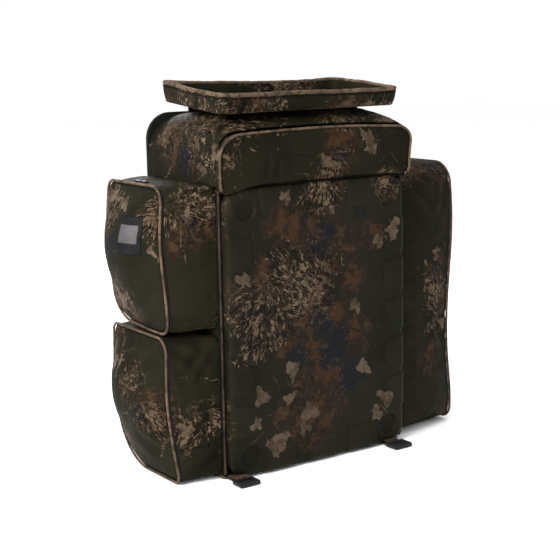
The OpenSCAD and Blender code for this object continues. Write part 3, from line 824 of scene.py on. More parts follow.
def make_camera():
    """The view: 35 degrees round to the left, 10 above the horizon."""
    azimuth, elevation, roll = math.radians(-35.13), math.radians(10.44), math.radians(-1.07)
    back = Vector((
        math.sin(azimuth) * math.cos(elevation), -math.cos(azimuth) * math.cos(elevation), math.sin(elevation)
    ))
    right = Vector((math.cos(azimuth), math.sin(azimuth), 0))
    up = back.cross(right)
    turned_right = right * math.cos(roll) + up * math.sin(roll)
    turned_up = up * math.cos(roll) - right * math.sin(roll)
    data = bpy.data.cameras.new("camera")
    data.sensor_width = 36
    data.lens = 83.21
    camera = bpy.data.objects.new("camera", data)
    bpy.context.scene.collection.objects.link(camera)
    camera.matrix_world = Matrix((
        (turned_right.x, turned_up.x, back.x, -1.2758),
        (turned_right.y, turned_up.y, back.y, -1.8242),
        (turned_right.z, turned_up.z, back.z, 0.7053),
        (0, 0, 0, 1),
    ))
    bpy.context.scene.camera = camera


def make_light(name, place, target, size, power):
    data = bpy.data.lights.new(name, "AREA")
    data.shape = "DISK"
    data.size = size
    data.energy = power
    light = bpy.data.objects.new(name, data)
    light.location = place
    light.rotation_euler = (Vector(target) - Vector(place)).to_track_quat("-Z", "Y").to_euler()
    bpy.context.scene.collection.objects.link(light)


def make_studio():
    bpy.context.scene.view_settings.view_transform = "Standard"
    work = bmesh.new()
    bmesh.ops.create_grid(work, x_segments=8, y_segments=8, size=9.0)
    mesh = bpy.data.meshes.new("floor")
    work.to_mesh(mesh)
    work.free()
    mesh.materials.append(pale_floor("floor_paper"))
    floor = bpy.data.objects.new("floor", mesh)
    floor.location = (0, 0, -0.0005)
    bpy.context.scene.collection.objects.link(floor)
    floor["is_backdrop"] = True
    world = bpy.data.worlds.new("studio")
    world.use_nodes = True
    world.node_tree.nodes["Background"].inputs[0].default_value = (1, 1, 1, 1)
    world.node_tree.nodes["Background"].inputs[1].default_value = 1.0
    bpy.context.scene.world = world
    make_light("key", (-2.6, -0.7, 1.7), (0, 0, 0.3), 1.4, 118)
    make_light("top", (-0.4, -0.5, 3.0), (0, 0, 0.4), 1.2, 30)
    make_light("rim", (0.8, 2.4, 1.8), (0, 0, 0.4), 1.4, 35)


# ---------------------------------------------------------------- shared builders


def place_on(piece, body, slot, *nodes):
    """Rides on a body and stands for CAD nodes. The slot argument is not used."""
    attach(piece, body)
    if nodes:
        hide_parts(*nodes)
    return piece


def puffed_form(name, to_world, inner, seam, depth_in, depth_seam, bulge, steps=10, fullness=2.4):
    """A closed form: a gusset from an inner outline out to a seam, then a face that bulges from the seam.
    Outlines are (across, up); depth_seam gives the seam's depth at a height."""
    centre = seam.mean(axis=0)
    rings = []
    for t in np.linspace(0, 1, 9):
        flat = inner * (1 - t) + seam * t
        depth = depth_in * (1 - t) + depth_seam(flat[:, 1]) * t
        rings.append(to_world(flat[:, 0], flat[:, 1], depth))
    for share in np.linspace(1, 0, steps + 1)[1:-1]:
        flat = centre + (seam - centre) * share
        depth = depth_seam(flat[:, 1]) + bulge(flat[:, 1]) * (1 - share**fullness)
        rings.append(to_world(flat[:, 0], flat[:, 1], depth))
    points, faces = closed_loft([list(r) for r in rings])
    tip_depth = np.array([depth_seam(centre[1]) + bulge(centre[1])])
    points[-1] = to_world(centre[:1], centre[1:], tip_depth)[0]
    return make_mesh(name, points, faces, [CAMO, LINING])


# ---------------------------------------------------------------- outlines of the bag

CREST_Z = BODY_TOP + 9
FRONT_DROP = 32
BACK_DROP = 8
SHOULDER_R = 58
REAR_ROUNDING = 14
HOOD_LEAN = 6
HOOD_FRONT = HOOD_LOW[1]
HOOD_HALF = HOOD_HIGH[0] + 2.5
HOOD_SEAM_Y = GUSSET_HIGH[1]
HOOD_SPLIT_Y = (HOOD_HIGH[1] + GUSSET_LOW[1]) / 2
DOOR_HALF = DOOR_HIGH[0] - 4
DOOR_FACE = DOOR_LOW[1] + 1.2
POCKET_BACK = span("left_upper_shell")[1][1]
LEFT_SEAM = -span("left_upper_shell")[0][0]
RIGHT_SEAM = span("right_shell")[1][0]


def top_at(y):
    """Height of the bag's top along its middle."""
    forward = max(-y / -HOOD_FRONT, 0)
    backward = max(y / BACK_Y, 0)
    return CREST_Z - FRONT_DROP * forward**2.2 - BACK_DROP * backward**2


def arch_ring(y, half, low, corner=SHOULDER_R, crown=6, count=121, lower=0.0, lean=0.0):
    """Points over the bag's top at one depth, from the left side's lower edge to the right side's.
    lean makes the right side fuller."""
    top = top_at(y) - lower
    path = [(-half, low)]
    for side, round_to, fall in ((-1, corner, crown), (1, corner - 1.6 * lean, crown + 0.5 * lean)):
        shoulder = top - fall - 0.9 * round_to
        flat = half - round_to
        arch = []
        for k in range(17):
            turn = math.pi / 2 * k / 16
            across = flat + round_to * math.cos(turn)
            arch.append((side * across, shoulder + 0.9 * round_to * math.sin(turn)))
        for share in np.linspace(1, 0, 14)[1:]:
            arch.append((side * flat * share, top - fall * share**2))
        path += arch if side < 0 else arch[-2::-1]
    path.append((half, low))
    ring = resample(path, count)
    fuller = lean * ease((ring[:, 0] - 90) / 100) * ease((ring[:, 1] - 498) / 60)
    return np.stack([ring[:, 0] + fuller, np.full(count, y), ring[:, 1]], axis=1)


def hood_outline(count, inset=0.0):
    """The hood's outline seen from the front: the arch, and a lower edge that droops at its ends."""
    half = HOOD_HALF - inset
    upper = arch_ring(HOOD_FRONT, half, 500, corner=42, crown=3, lower=inset, lean=HOOD_LEAN)[:, (0, 2)]
    lower = []
    for x in np.linspace(-half + 10, half - 10, 60):
        droop = 11 * ease((-x - 110) / 75) + 4 * ease((x - 130) / 55)
        lower.append((x, 482.5 + inset - float(droop)))
    left_low, right_low = lower[0][1], lower[-1][1]
    right_corner = [(half - 3, right_low + 3), (half, right_low + 11)]
    left_corner = [(-half, left_low + 11), (-half + 3, left_low + 3)]
    return resample(lower + right_corner + list(upper[::-1]) + left_corner, count, closed=True)


def face_out(piece, centre=None):
    """Turns an open sheet's faces away from a centre."""
    mesh = piece.data
    if centre is None:
        centre = vertex_array(piece).mean(axis=0)
    outward = sum((Vector(f.center) / MM - Vector(centre)).dot(f.normal) * f.area for f in mesh.polygons)
    if outward < 0:
        mesh.flip_normals()
    return piece


def cut_hole(piece, planes, inside):
    """Cuts a piece along planes, then removes the faces whose middle passes the test."""
    work = bmesh.new()
    work.from_mesh(piece.data)
    for point, normal in planes:
        bmesh.ops.bisect_plane(
            work, geom=list(work.verts) + list(work.edges) + list(work.faces), dist=1e-6,
            plane_co=Vector(point) * MM, plane_no=Vector(normal),
        )
    gone = [f for f in work.faces if inside(f.calc_center_median() / MM)]
    bmesh.ops.delete(work, geom=gone, context="FACES")
    work.to_mesh(piece.data)
    work.free()


def surface_of(*pieces):
    work = bmesh.new()
    for piece in pieces:
        work.from_mesh(piece.data)
    tree = BVHTree.FromBMesh(work)
    work.free()
    return tree


def laid_on(tree, path, lift):
    """Moves a path to the nearest places on a surface, lifted off it. Gives the points and the normals."""
    points, normals = [], []
    for p in path:
        place, normal, _, _ = tree.find_nearest(Vector(p) * MM)
        points.append(np.array(place) / MM + np.array(normal) * lift)
        normals.append(np.array(normal))
    return np.array(points), np.array(normals)


# ---------------------------------------------------------------- body, hood and back


def make_body():
    """The wrap over the sides and the top, with the main compartment's mouth cut out."""
    rings = []
    rear = [BACK_Y - 6, BACK_Y - 3, BACK_Y - 1, BACK_Y]
    for y in [FRONT_Y + 0.2] + list(np.linspace(FRONT_Y + 4, BACK_Y - 9, 44)) + rear:
        rounding = max(0.0, (y - BACK_Y + 9) / 9)
        inset = 9 * (1 - math.sqrt(1 - rounding**2))
        corner = SHOULDER_R + REAR_ROUNDING * float(ease((y - 30) / 70))
        rings.append(arch_ring(y, SIDE_X - inset, 5, corner=corner, count=261, lower=inset))
    points = [p for ring in rings for p in ring]
    body = make_mesh("body_wrap_cloth", points, grid_faces(len(rings), 261), [CAMO, LINING])
    face_out(body, (0, 0, 300))
    mouth_x, mouth_front, mouth_back = 115, -36, 44
    planes = [((mouth_x, 0, 0), (1, 0, 0)), ((-mouth_x, 0, 0), (1, 0, 0)), ((0, mouth_front, 0), (0, 1, 0)),
              ((0, mouth_back, 0), (0, 1, 0)), ((0, HOOD_SEAM_Y, 0), (0, 1, 0)), ((0, 0, 478), (0, 0, 1))]

    def is_open(p):
        in_mouth = abs(p.x) < mouth_x and mouth_front < p.y < mouth_back and p.z > 560
        return in_mouth or (p.y < HOOD_SEAM_Y and p.z > 478)

    cut_hole(body, planes, is_open)
    print_motifs(body)
    thicken(body, 4)
    place_on(body, "bag", "camo_fabric", "body_wrap")


def make_hood():
    """The gusset stays on the bag. The front face folds down."""
    ring_ys = np.linspace(HOOD_SPLIT_Y, HOOD_SEAM_Y, 22)
    rings = []
    for y in ring_ys:
        share = (y - HOOD_SPLIT_Y) / (HOOD_SEAM_Y - HOOD_SPLIT_Y)
        half = HOOD_HALF * (1 - share) + (SIDE_X + 1.5) * share + 2.2 * math.sin(math.pi * share)
        low = 482.5 + 2.0 * float(ease((y + 104) / 10))
        rings.append(arch_ring(
            y, half, low, corner=42 + 14 * share, crown=3 + 3 * share, count=181,
            lower=-1.5 * share, lean=HOOD_LEAN * (1 - share),
        ))
    points = [p for ring in rings for p in ring]
    gusset = make_mesh("hood_gusset_cloth", points, grid_faces(len(rings), 181), [CAMO, LINING])
    face_out(gusset, (0, -85, 480))
    crease(gusset, lambda p: 1.3 * wander(p, 34, 3.0) + 0.6 * wander(p, 13, 5.0),
           lambda ps: ease((ps[:, 1] - HOOD_SPLIT_Y) / 12) * ease((HOOD_SEAM_Y - ps[:, 1]) / 10))
    print_motifs(gusset)
    thicken(gusset, 3)
    place_on(gusset, "bag", "camo_fabric", "hood_gusset")

    outline = hood_outline(240)
    centre = np.array([0, 526.0])
    rings = [np.stack([outline[:, 0], np.full(240, y), outline[:, 1]], axis=1)
             for y in (HOOD_SPLIT_Y + 0.4, HOOD_SPLIT_Y - 4, HOOD_FRONT + 1.0)]
    for share in np.linspace(0.985, 0.1, 26):
        flat = centre + (outline - centre) * (1 - (1 - share) * np.array([0.62, 1.0]))
        depth = HOOD_FRONT - 4.5 * (1 - share**3.2) + 0.8 * math.exp(-((1 - share) / 0.03) ** 2)
        rings.append(np.stack([flat[:, 0], np.full(240, depth), flat[:, 1]], axis=1))
    points, faces = closed_loft([list(r) for r in rings], first_cap=False)
    face = make_mesh("hood_face_cloth", points, faces, [CAMO, LINING])
    face_out(face, (0, -100, 526))
    crease(face, lambda p: 0.9 * wander(p, 45, 8.0) + 0.5 * wander((p[0], p[1], p[2] * 2.2), 26, 2.0),
           lambda ps: ease((HOOD_FRONT - ps[:, 1]) / 3.0))
    y = HOOD_FRONT - 4
    for start, end, depth, width in (
        ((118, y, 556), (168, y, 498), 2.6, 6), ((60, y, 561), (74, y, 512), 1.4, 7),
        ((-112, y, 484), (-100, y, 532), 2.0, 6), ((-88, y, 484), (-82, y, 524), 1.8, 5),
        ((10, y, 490), (4, y, 546), 1.6, 7), ((-62, y, 486), (-60, y, 512), 1.6, 5),
        ((150, y, 486), (120, y, 500), 1.6, 6), ((-170, y, 540), (-130, y, 500), 1.2, 8),
    ):
        fold(face, start, end, depth, width)
    print_motifs(face)
    thicken(face, 2.5)
    place_on(face, "hood", "camo_fabric", "hood_face")

    edge = hood_outline(360, inset=0.5)
    high = edge[edge[:, 1] > 476]
    start = int(np.argmax(np.linalg.norm(np.diff(high, axis=0, append=high[:1]), axis=1)))
    order = np.roll(high, -start - 1, axis=0)
    upper = order[(order[:, 1] > 484) | (np.abs(order[:, 0]) > HOOD_HALF - 12)]
    gap = int(np.argmax(np.linalg.norm(np.diff(upper, axis=0, append=upper[:1]), axis=1)))
    upper = np.roll(upper, -gap - 1, axis=0)
    path = np.stack([upper[:, 0], np.full(len(upper), HOOD_FRONT - 0.6), upper[:, 1]], axis=1)
    piping = tube("hood_piping_cord", path, 2.1, [BINDING], sides=10, spacing=2.5)
    place_on(piping, "hood", "camo_binding", "hood_piping")
    # A thin dark cord just inside the piping: a painted shadow line beside it.
    inner = path * (0.978, 1, 1) - (0, 0.6, 0)
    inner[:, 2] = 526 + (path[:, 2] - 526) * 0.915
    shade = tube("hood_piping_seam", inner + (0, 0.9, 0), 0.9, [GAP_SHADOW], sides=6)
    place_on(shade, "hood", "camo_binding")
    # A thin dark cord along the gusset's join to the bag: a painted shadow line at the join.
    joint_line = list(arch_ring(HOOD_SEAM_Y + 0.8, SIDE_X + 0.6, 489, count=120, lower=-0.4))
    place_on(tube("hood_back_seam", joint_line, 1.1, [GAP_SHADOW], sides=6), "bag", "camo_fabric")


def make_body_edges():
    """Piping down both front edges of the bag, each with a dark cord beside it as painted shadow, and round
    the back.
    """
    for name, side in (("left_edge_piping", -1), ("right_edge_piping", 1)):
        path = [(side * (SIDE_X - 0.4), FRONT_Y - 0.8, z) for z in np.linspace(9, 476, 60)]
        place_on(tube(name, path, 1.8, [DARK_BINDING], sides=8), "bag", "camo_binding")
        # A dark cord just inside each front piping: a painted shadow line.
        shade = [(side * (SIDE_X - 4), FRONT_Y - 0.4, z) for z in np.linspace(9, 476, 20)]
        place_on(tube(name + "_seam", shade, 2.0, [GAP_SHADOW], sides=6), "bag", "camo_binding")
    ring = arch_ring(BACK_Y - 2.5, SIDE_X - 2.4, 8, corner=SHOULDER_R + REAR_ROUNDING, count=200, lower=2.0)
    place_on(tube("back_edge_piping", ring, 2.2, [DARK_BINDING], sides=8), "bag", "camo_binding")


def make_back():
    """The back panel, crowned a little between its edges."""
    rear_corner = SHOULDER_R + REAR_ROUNDING
    outline = arch_ring(BACK_Y, SIDE_X - 9, 5, corner=rear_corner, count=200, lower=9)[:, (0, 2)]
    bottom = np.stack([np.linspace(SIDE_X - 9, -SIDE_X + 9, 60)[1:-1], np.full(58, 5.0)], axis=1)
    loop = resample(np.vstack([outline, bottom]), 240, closed=True)
    centre = np.array([0, 300.0])
    rings = []
    for share in np.linspace(1, 0.06, 34):
        flat = centre + (loop - centre) * share
        depth = BACK_Y + 1.6 * (1 - share**6)
        rings.append([(x, depth + 0.35 * wander((x, 0, z), 40, 4.0) * (1 - share), z) for x, z in flat])
    back = make_mesh("back_panel_cloth", *closed_loft(rings, first_cap=False), [LINING])
    face_out(back, (0, 0, 300))
    place_on(back, "bag", "lining_fabric")


# ---------------------------------------------------------------- door


DOOR_CORNER_R = 30.0
DOOR_BEVEL = 12.0
BEVEL_DEPTH = 10.5
DOOR_SHELL = 3.5
# Heights of the blocks down the sides, and places across of the ones along the ends.
SIDE_BLOCKS = (98, 167, 236, 305, 374)
END_BLOCKS = (-88, 0, 88)
SIDE_BLOCK = (58, 42)
END_BLOCK = (66, 50)
BLOCK_INSET = 6
BLOCK_REACH = 38
BLOCK_HEIGHT = 3.4
DIMPLE_X = 146
DIMPLE_HEIGHTS = (36, 443)
DIMPLE_R = 19.5
DIMPLE_DEPTH = 5.0


def block_rise(along, inward, long_side, short_side, reach):
    """How much a border block rises at a place: 0 outside, 1 on it."""
    half = (long_side + (short_side - long_side) * np.clip(inward / reach, 0, 1)) / 2
    edge = np.minimum(np.minimum(inward + BLOCK_INSET, reach - inward), half - np.abs(along))
    return ease((edge + 0.8) / 2.0)


def rounded_distance(x, z, half_x, half_z, radius):
    """How far inside a rounded rectangle a place is."""
    across = np.abs(x) - (half_x - radius)
    up = np.abs(z) - (half_z - radius)
    outside = np.hypot(np.maximum(across, 0), np.maximum(up, 0))
    return radius - outside - np.minimum(np.maximum(across, up), 0)


def make_door():
    """The moulded front: a bevelled rim, shallow blocks along its border and four round dimples."""
    low_edge = DOOR_LOW[2] - 7.5
    half_z = (DOOR_HIGH[2] - low_edge) / 2
    mid_z = (DOOR_HIGH[2] + low_edge) / 2
    radius = DOOR_CORNER_R
    turns = np.linspace(0, math.pi / 2, 15)
    closer = 1 - np.cos(turns)
    middle = np.linspace(-half_z + radius, half_z - radius, 270)
    rows = np.concatenate([-half_z + radius * closer[:-1], middle, half_z - radius * closer[::-1][1:]])
    middle = np.linspace(-0.98, 0.98, 230)
    columns = np.concatenate([-1 + 0.02 * closer[:-1], middle, 1 - 0.02 * closer[::-1][1:]])
    over = np.maximum(np.abs(rows) - (half_z - radius), 0)
    widths = DOOR_HALF - radius + np.sqrt(np.maximum(radius**2 - over**2, 0))
    x = columns[None, :] * widths[:, None]
    z = np.repeat(rows[:, None], len(columns), axis=1)
    inside = np.clip(rounded_distance(x, z, DOOR_HALF, half_z, radius), 0, None)
    slant = np.clip(1 - inside / DOOR_BEVEL, 0, 1)
    drop = BEVEL_DEPTH * (1 - np.sqrt(np.clip(1 - slant**2, 0, 1)))
    rise = np.zeros_like(x)
    for side in (-1, 1):
        for at in SIDE_BLOCKS:
            inward = DOOR_HALF - BLOCK_INSET - side * x
            rise = np.maximum(rise, block_rise(z + mid_z - at, inward, *SIDE_BLOCK, BLOCK_REACH))
    for end in (-1, 1):
        for at in END_BLOCKS:
            inward = half_z - BLOCK_INSET - end * z
            rise = np.maximum(rise, block_rise(x - at, inward, *END_BLOCK, BLOCK_REACH))
    dimple = np.zeros_like(x)
    for side in (-1, 1):
        for at in DIMPLE_HEIGHTS:
            away = np.hypot(x - side * DIMPLE_X, z + mid_z - at)
            dimple = np.maximum(dimple, ease((DIMPLE_R - away) / 2.5))
            rise *= ease((away - DIMPLE_R - 1.5) / 3.0)
    drop = drop - BLOCK_HEIGHT * rise + DIMPLE_DEPTH * dimple
    heights = DOOR_FACE + drop
    points = np.stack([x, heights, z + mid_z], axis=2)
    for row in points:
        for p in row:
            p[1] += 0.35 * wander((p[0], 0, p[2]), 60, 6.0) + 0.12 * wander((p[0], 0, p[2]), 9, 2.0)
    flat = points.reshape(-1, 3)
    row_count, column_count = x.shape
    faces = grid_faces(row_count, column_count)
    border = grid_border(row_count, column_count)
    rim = flat[border].copy()
    rim[:, 1] = DOOR_HIGH[1]
    start = len(flat)
    flat = np.vstack([flat, rim])
    count = len(border)
    faces += [(border[k], border[(k + 1) % count], start + (k + 1) % count, start + k) for k in range(count)]
    door = make_mesh("front_door_moulding", flat, faces, [MOULDED, LINING])
    face_out(door, (0, DOOR_HIGH[1] + 30, mid_z))
    print_motifs(door)
    thicken(door, DOOR_SHELL)
    place_on(door, "front_door", "moulded_camo", "front_panel")
    # A dark cord round the door's edge, behind the moulding: painted shadow in the gap round the door.
    radii = (radius - 2,) * 4
    ring = rounded_outline(-DOOR_HALF + 2, DOOR_HALF - 2, low_edge + 2, DOOR_HIGH[2] - 2, radii, 300)
    path = np.stack([ring[:, 0], np.full(300, DOOR_HIGH[1] - 0.6), ring[:, 1]], axis=1)
    shade = tube("front_door_painted_gap_shadow", path, 2.2, [GAP_SHADOW], closed=True, sides=6)
    place_on(shade, "front_door", "lining_fabric")


# ---------------------------------------------------------------- pockets


def make_pocket(name, side, bottom, top, seam_depth, slope, bulge, belly, rise, corner, flap, seed, folds):
    """A zipped side pocket. Its gusset stays on the bag, and its face opens with the flap.
    bulge is how far the face stands out of its seam at a height, and belly how far the seam itself does.
    rise lifts the rear of the gap between the two left pockets."""
    def seam_at(up):
        return seam_depth + slope * (up - bottom)

    def to_world(across, up, depth):
        return np.stack([side * depth, across, up], axis=1)

    def swell(points):
        share = ease((np.abs(points[:, 0]) - SIDE_X) / (seam_depth - SIDE_X))
        moved = points.copy()
        moved[:, 0] += side * share * belly(points[:, 2])
        if side < 0:
            moved[:, 2] += rise * share * ease((points[:, 1] + 60) / 150) * hump(points[:, 2], 247, 45)
            moved[:, 1] -= 8 * share * ease(-points[:, 1] / 60) * hump(points[:, 2], 0, 45)
        if name == "left_lower":
            zip_low = span("left_lower_slider")[0]
            aside = ease((np.abs(moved[:, 0] - zip_low[0] - 5) - 12) / 12)
            moved[:, 1] = np.minimum(moved[:, 1], zip_low[1] - 2.4 + 20 * aside)
        moved[:, 2] = np.maximum(moved[:, 2], 0.8)
        return moved

    inner = rounded_outline(-107, POCKET_BACK - 2, bottom + 1, top - 1, (16, 16, 16, 16), 200)
    seam = rounded_outline(-84, 89, bottom - 1, top + 1, corner, 200)
    form = puffed_form(name + "_form", to_world, inner, seam, SIDE_X - 5, seam_at, bulge)
    seam_path = to_world(seam[:, 0], seam[:, 1], seam_at(seam[:, 1]))
    inner_path = to_world(inner[:, 0], inner[:, 1], np.full(200, SIDE_X - 2.0))
    puff(form, [seam_path, inner_path], cap=7, pin_reach=5, slack=0.012)
    normal = np.array([side, 0, -slope])
    normal /= np.linalg.norm(normal)

    def loose(points):
        off_seam = ease((distance_to(points, seam_path[::3]) - 4) / 14)
        return off_seam * ease((np.abs(points[:, 0]) - SIDE_X - 4) / 12)

    def ripple(p):
        return 0.8 * wander(p, 30, seed) + 0.5 * wander((p[0], p[1] * 1.4, p[2]), 14, seed + 2)

    crease(form, ripple, loose)
    cloth = surface_of(form)
    for start, end, depth, width in folds:
        ends = [np.array(cloth.find_nearest(Vector(point) * MM)[0]) / MM for point in (start, end)]
        fold(form, *ends, 1.8 * depth, width)
    pull_in(form, seam_path, 1.6, 5)
    cut_hole(form, [((side * (SIDE_X + 0.4), 0, 0), (1, 0, 0))], lambda p: abs(p.x) < SIDE_X + 0.4)
    face = cut_in_two(form, name + "_face_cloth", (side * seam_at(bottom), 0, bottom), normal)
    form.name = name + "_shell_cloth"
    for piece in (form, face):
        set_vertices(piece, swell(vertex_array(piece)))
        face_out(piece, (side * (SIDE_X + 20), 0, (bottom + top) / 2))
        print_motifs(piece)
    tree = surface_of(form, face)
    seam_path = swell(seam_path)
    for piece in (form, face):
        thicken(piece, 2.0)
    place_on(form, "bag", "camo_fabric", name + "_shell")
    place_on(face, flap, "camo_fabric", name + "_face")
    lifted = seam_path + normal * 0.8
    lifted[:, 2] = np.maximum(lifted[:, 2], 2.6)
    piping = tube(name + "_piping_cord", lifted, 2.2, [BINDING], closed=True, sides=10, spacing=2.5)
    place_on(piping, flap, "camo_binding", name + "_piping")
    # A thin dark cord on the face just past the piping: a painted shadow line along the seam.
    ring, _ = laid_on(tree, seam_path + np.array([side, 0, 0]) * 4.5, 0.1)
    place_on(tube(name + "_front_seam", ring, 0.7, [GAP_SHADOW], closed=True, sides=6), flap, "camo_binding")
    ring, normals = laid_on(tree, seam_path - np.array([side, 0, 0]) * 4.6, 0.3)
    zip_line(name + "_zip_line", ring, normals, (1, 0, 0), 4.2, "bag", name + "_zip")
    return tree


def pull_in(piece, path, depth, reach):
    """Sinks the surface beside a sewn line."""
    points = vertex_array(piece)
    normals = vertex_normals(piece)
    near = np.exp(-(distance_to(points, path) / reach) ** 2)
    set_vertices(piece, points - normals * (near * depth)[:, None])


def zip_line(name, path, normals, across, width, body, *nodes):
    """A zip: its tape, and a coil of teeth down its middle."""
    closed = np.vstack([path, path[:1]])
    tape = ribbon(name + "_tape", closed, across, width, 0.9, [TAPE])
    up = np.vstack([normals, normals[:1]])
    dense = resample(closed, int(np.linalg.norm(np.diff(closed, axis=0), axis=1).sum() / 2.4))
    steps = np.linspace(0, len(up) - 1, len(dense))
    out = np.stack([np.interp(steps, range(len(up)), up[:, k]) for k in range(3)], axis=1)
    side = np.array(across, float)
    points, faces = [], []
    for k in range(len(dense) - 1):
        ahead = dense[k + 1] - dense[k]
        ahead = ahead / max(np.linalg.norm(ahead), 1e-9) * 0.75
        base = dense[k] + out[k] * 0.3
        first = len(points)
        for height, reach in ((0.0, 1.3), (0.9, 0.8)):
            for a, s in ((-1, -1), (1, -1), (1, 1), (-1, 1)):
                points.append(base + ahead * a + side * reach * s + out[k] * height)
        faces += [(first, first + 1, first + 2, first + 3), (first + 4, first + 5, first + 6, first + 7)]
        faces += [(first + c, first + (c + 1) % 4, first + 4 + (c + 1) % 4, first + 4 + c) for c in range(4)]
    teeth = make_mesh(name + "_teeth", points, faces, [PLASTIC], smooth=False)
    place_on(joined(name, [tape, teeth]), body, "zip_tape", *nodes)


def hump(up, middle, reach):
    """1 at a height, falling away to 0 on both sides of it."""
    return np.exp(-((up - middle) / reach) ** 2)


def make_pockets():
    left, right = -LEFT_SEAM + 6, RIGHT_SEAM
    upper_tree = make_pocket(
        "left_upper", -1, 250, 485, LEFT_SEAM + 2, 0.0,
        bulge=lambda up: 13 + 22 * hump(up, 375, 85), belly=lambda up: 10 * hump(up, 400, 85), rise=7,
        corner=(52, 16, 30, 22), flap="left_upper_flap", seed=1.0,
        folds=(((left, -95, 470), (-225, -100, 440), 2.4, 7), ((-200, -106, 476), (-225, -103, 420), 1.8, 7),
               ((-292, -60, 300), (-285, 20, 262), 2.0, 9), ((left, -92, 270), (-220, -102, 262), 2.0, 7),
               ((-285, -70, 468), (-300, -30, 440), 1.6, 8)))
    make_pocket(
        "left_lower", -1, 5, 242, LEFT_SEAM - 5, 0.046,
        bulge=lambda up: 9 + 27 * hump(up, 140, 80), belly=lambda up: 8 * hump(up, 140, 80), rise=1.5,
        corner=(75, 12, 26, 13), flap="left_lower_flap", seed=4.0,
        folds=(((left, -94, 226), (-222, -102, 196), 3.0, 7), ((-215, -104, 232), (-240, -100, 190), 2.4, 7),
               ((-205, -105, 215), (-225, -102, 160), 1.8, 8), ((-258, -92, 205), (-235, -99, 150), 1.8, 7),
               ((-195, -107, 40), (-230, -100, 22), 2.0, 7), ((-288, -50, 215), (-296, 0, 190), 1.8, 9),
               ((-282, -70, 40), (-290, -20, 70), 1.6, 9)))
    make_pocket(
        "right", 1, 6, 483, RIGHT_SEAM + 3.0, 0.0,
        bulge=lambda up: 5 + 14 * hump(up, 390, 110) + 9 * hump(up, 50, 80),
        belly=lambda up: 12.5 * hump(up, 375, 115) + 10.5 * hump(up, 40, 80), rise=0,
        corner=(34, 36, 36, 20), flap="right_flap", seed=7.0,
        folds=(((205, -105, 470), (262, -96, 420), 3.0, 9), ((240, -100, 478), (285, -92, 430), 2.6, 8),
               ((200, -106, 440), (240, -100, 380), 2.4, 9), ((right - 8, -92, 455), (290, -90, 400), 2.0, 8),
               ((right - 6, -90, 205), (262, -97, 185), 2.6, 9),
               ((right - 6, -90, 165), (270, -95, 180), 2.0, 8),
               ((200, -106, 60), (250, -98, 30), 2.0, 9)))
    make_patch(upper_tree)


def make_patch(tree):
    """A plain woven patch with a stitched hem, lying on the upper pocket's face."""
    low, high = span("label_patch")
    low[1], high[1] = low[1] - 12, high[1] - 12
    rows, columns = 34, 30
    points = []
    for z in np.linspace(low[2], high[2], rows):
        for y in np.linspace(low[1], high[1], columns):
            hit = tree.ray_cast(Vector((-400, y, z)) * MM, Vector((1, 0, 0)))[0]
            edge = min(y - low[1], high[1] - y, z - low[2], high[2] - z)
            hem = 0.9 * float(ease(edge / 1.2)) + 0.55 * math.exp(-((edge - 3) / 1.6) ** 2)
            points.append((hit.x / MM - 0.5 - hem, y, z))
    patch = make_mesh("blank_patch", points, grid_faces(rows, columns), [WEBBING])
    face_out(patch, (-200, 0, (low[2] + high[2]) / 2))
    thicken(patch, 1.4)
    place_on(patch, "left_upper_flap", "black_webbing", "label_patch")
    grid = np.array(points).reshape(rows, columns, 3)[10:27, 3:-5]
    raised = (grid - (0.5, 0, 0)).reshape(-1, 3)
    field = make_mesh("patch_field", raised, grid_faces(*grid.shape[:2]), [PALE_FIELD])
    face_out(field, (-200, 0, (low[2] + high[2]) / 2))
    thicken(field, 0.8)
    place_on(field, "left_upper_flap", "black_webbing")


# ---------------------------------------------------------------- tray


HINGE_POINT = np.array(LID_HINGE["pos_m"]) / MM
TRAY_TILT = math.radians(5.5)
TRAY_HALF = span("tray_wall")[1][0] + 5
TRAY_DEPTH = 88


def from_tray(points):
    """Points in the tray's own frame (across, back, up, from the middle of its underside) to the bag's."""
    points = np.asarray(points, float)
    back = points[:, 1] - 90
    y = HINGE_POINT[1] + back * math.cos(TRAY_TILT) - points[:, 2] * math.sin(TRAY_TILT)
    z = HINGE_POINT[2] + back * math.sin(TRAY_TILT) + points[:, 2] * math.cos(TRAY_TILT)
    return np.stack([points[:, 0], y, z], axis=1)


def rim_lift(x, y):
    """How the soft rim rises and dips."""
    at_back = float(ease((y + 20) / 90))
    lean = -0.016 * x * at_back
    sag = -6.0 * (1 - (x / 180) ** 2) * at_back - 1.2 * ease((x + 20) / 80)
    return lean + sag + 1.1 * wander((x, y, 0), 70, 9.0) + 0.6 * wander((x, y, 0), 24, 4.0)


def tray_outline(grow, radius, count):
    """The tray's outline from above, larger or smaller all round."""
    across, back = TRAY_HALF + grow, TRAY_DEPTH + grow
    return rounded_outline(-across, across, -back, back, (radius,) * 4, count)


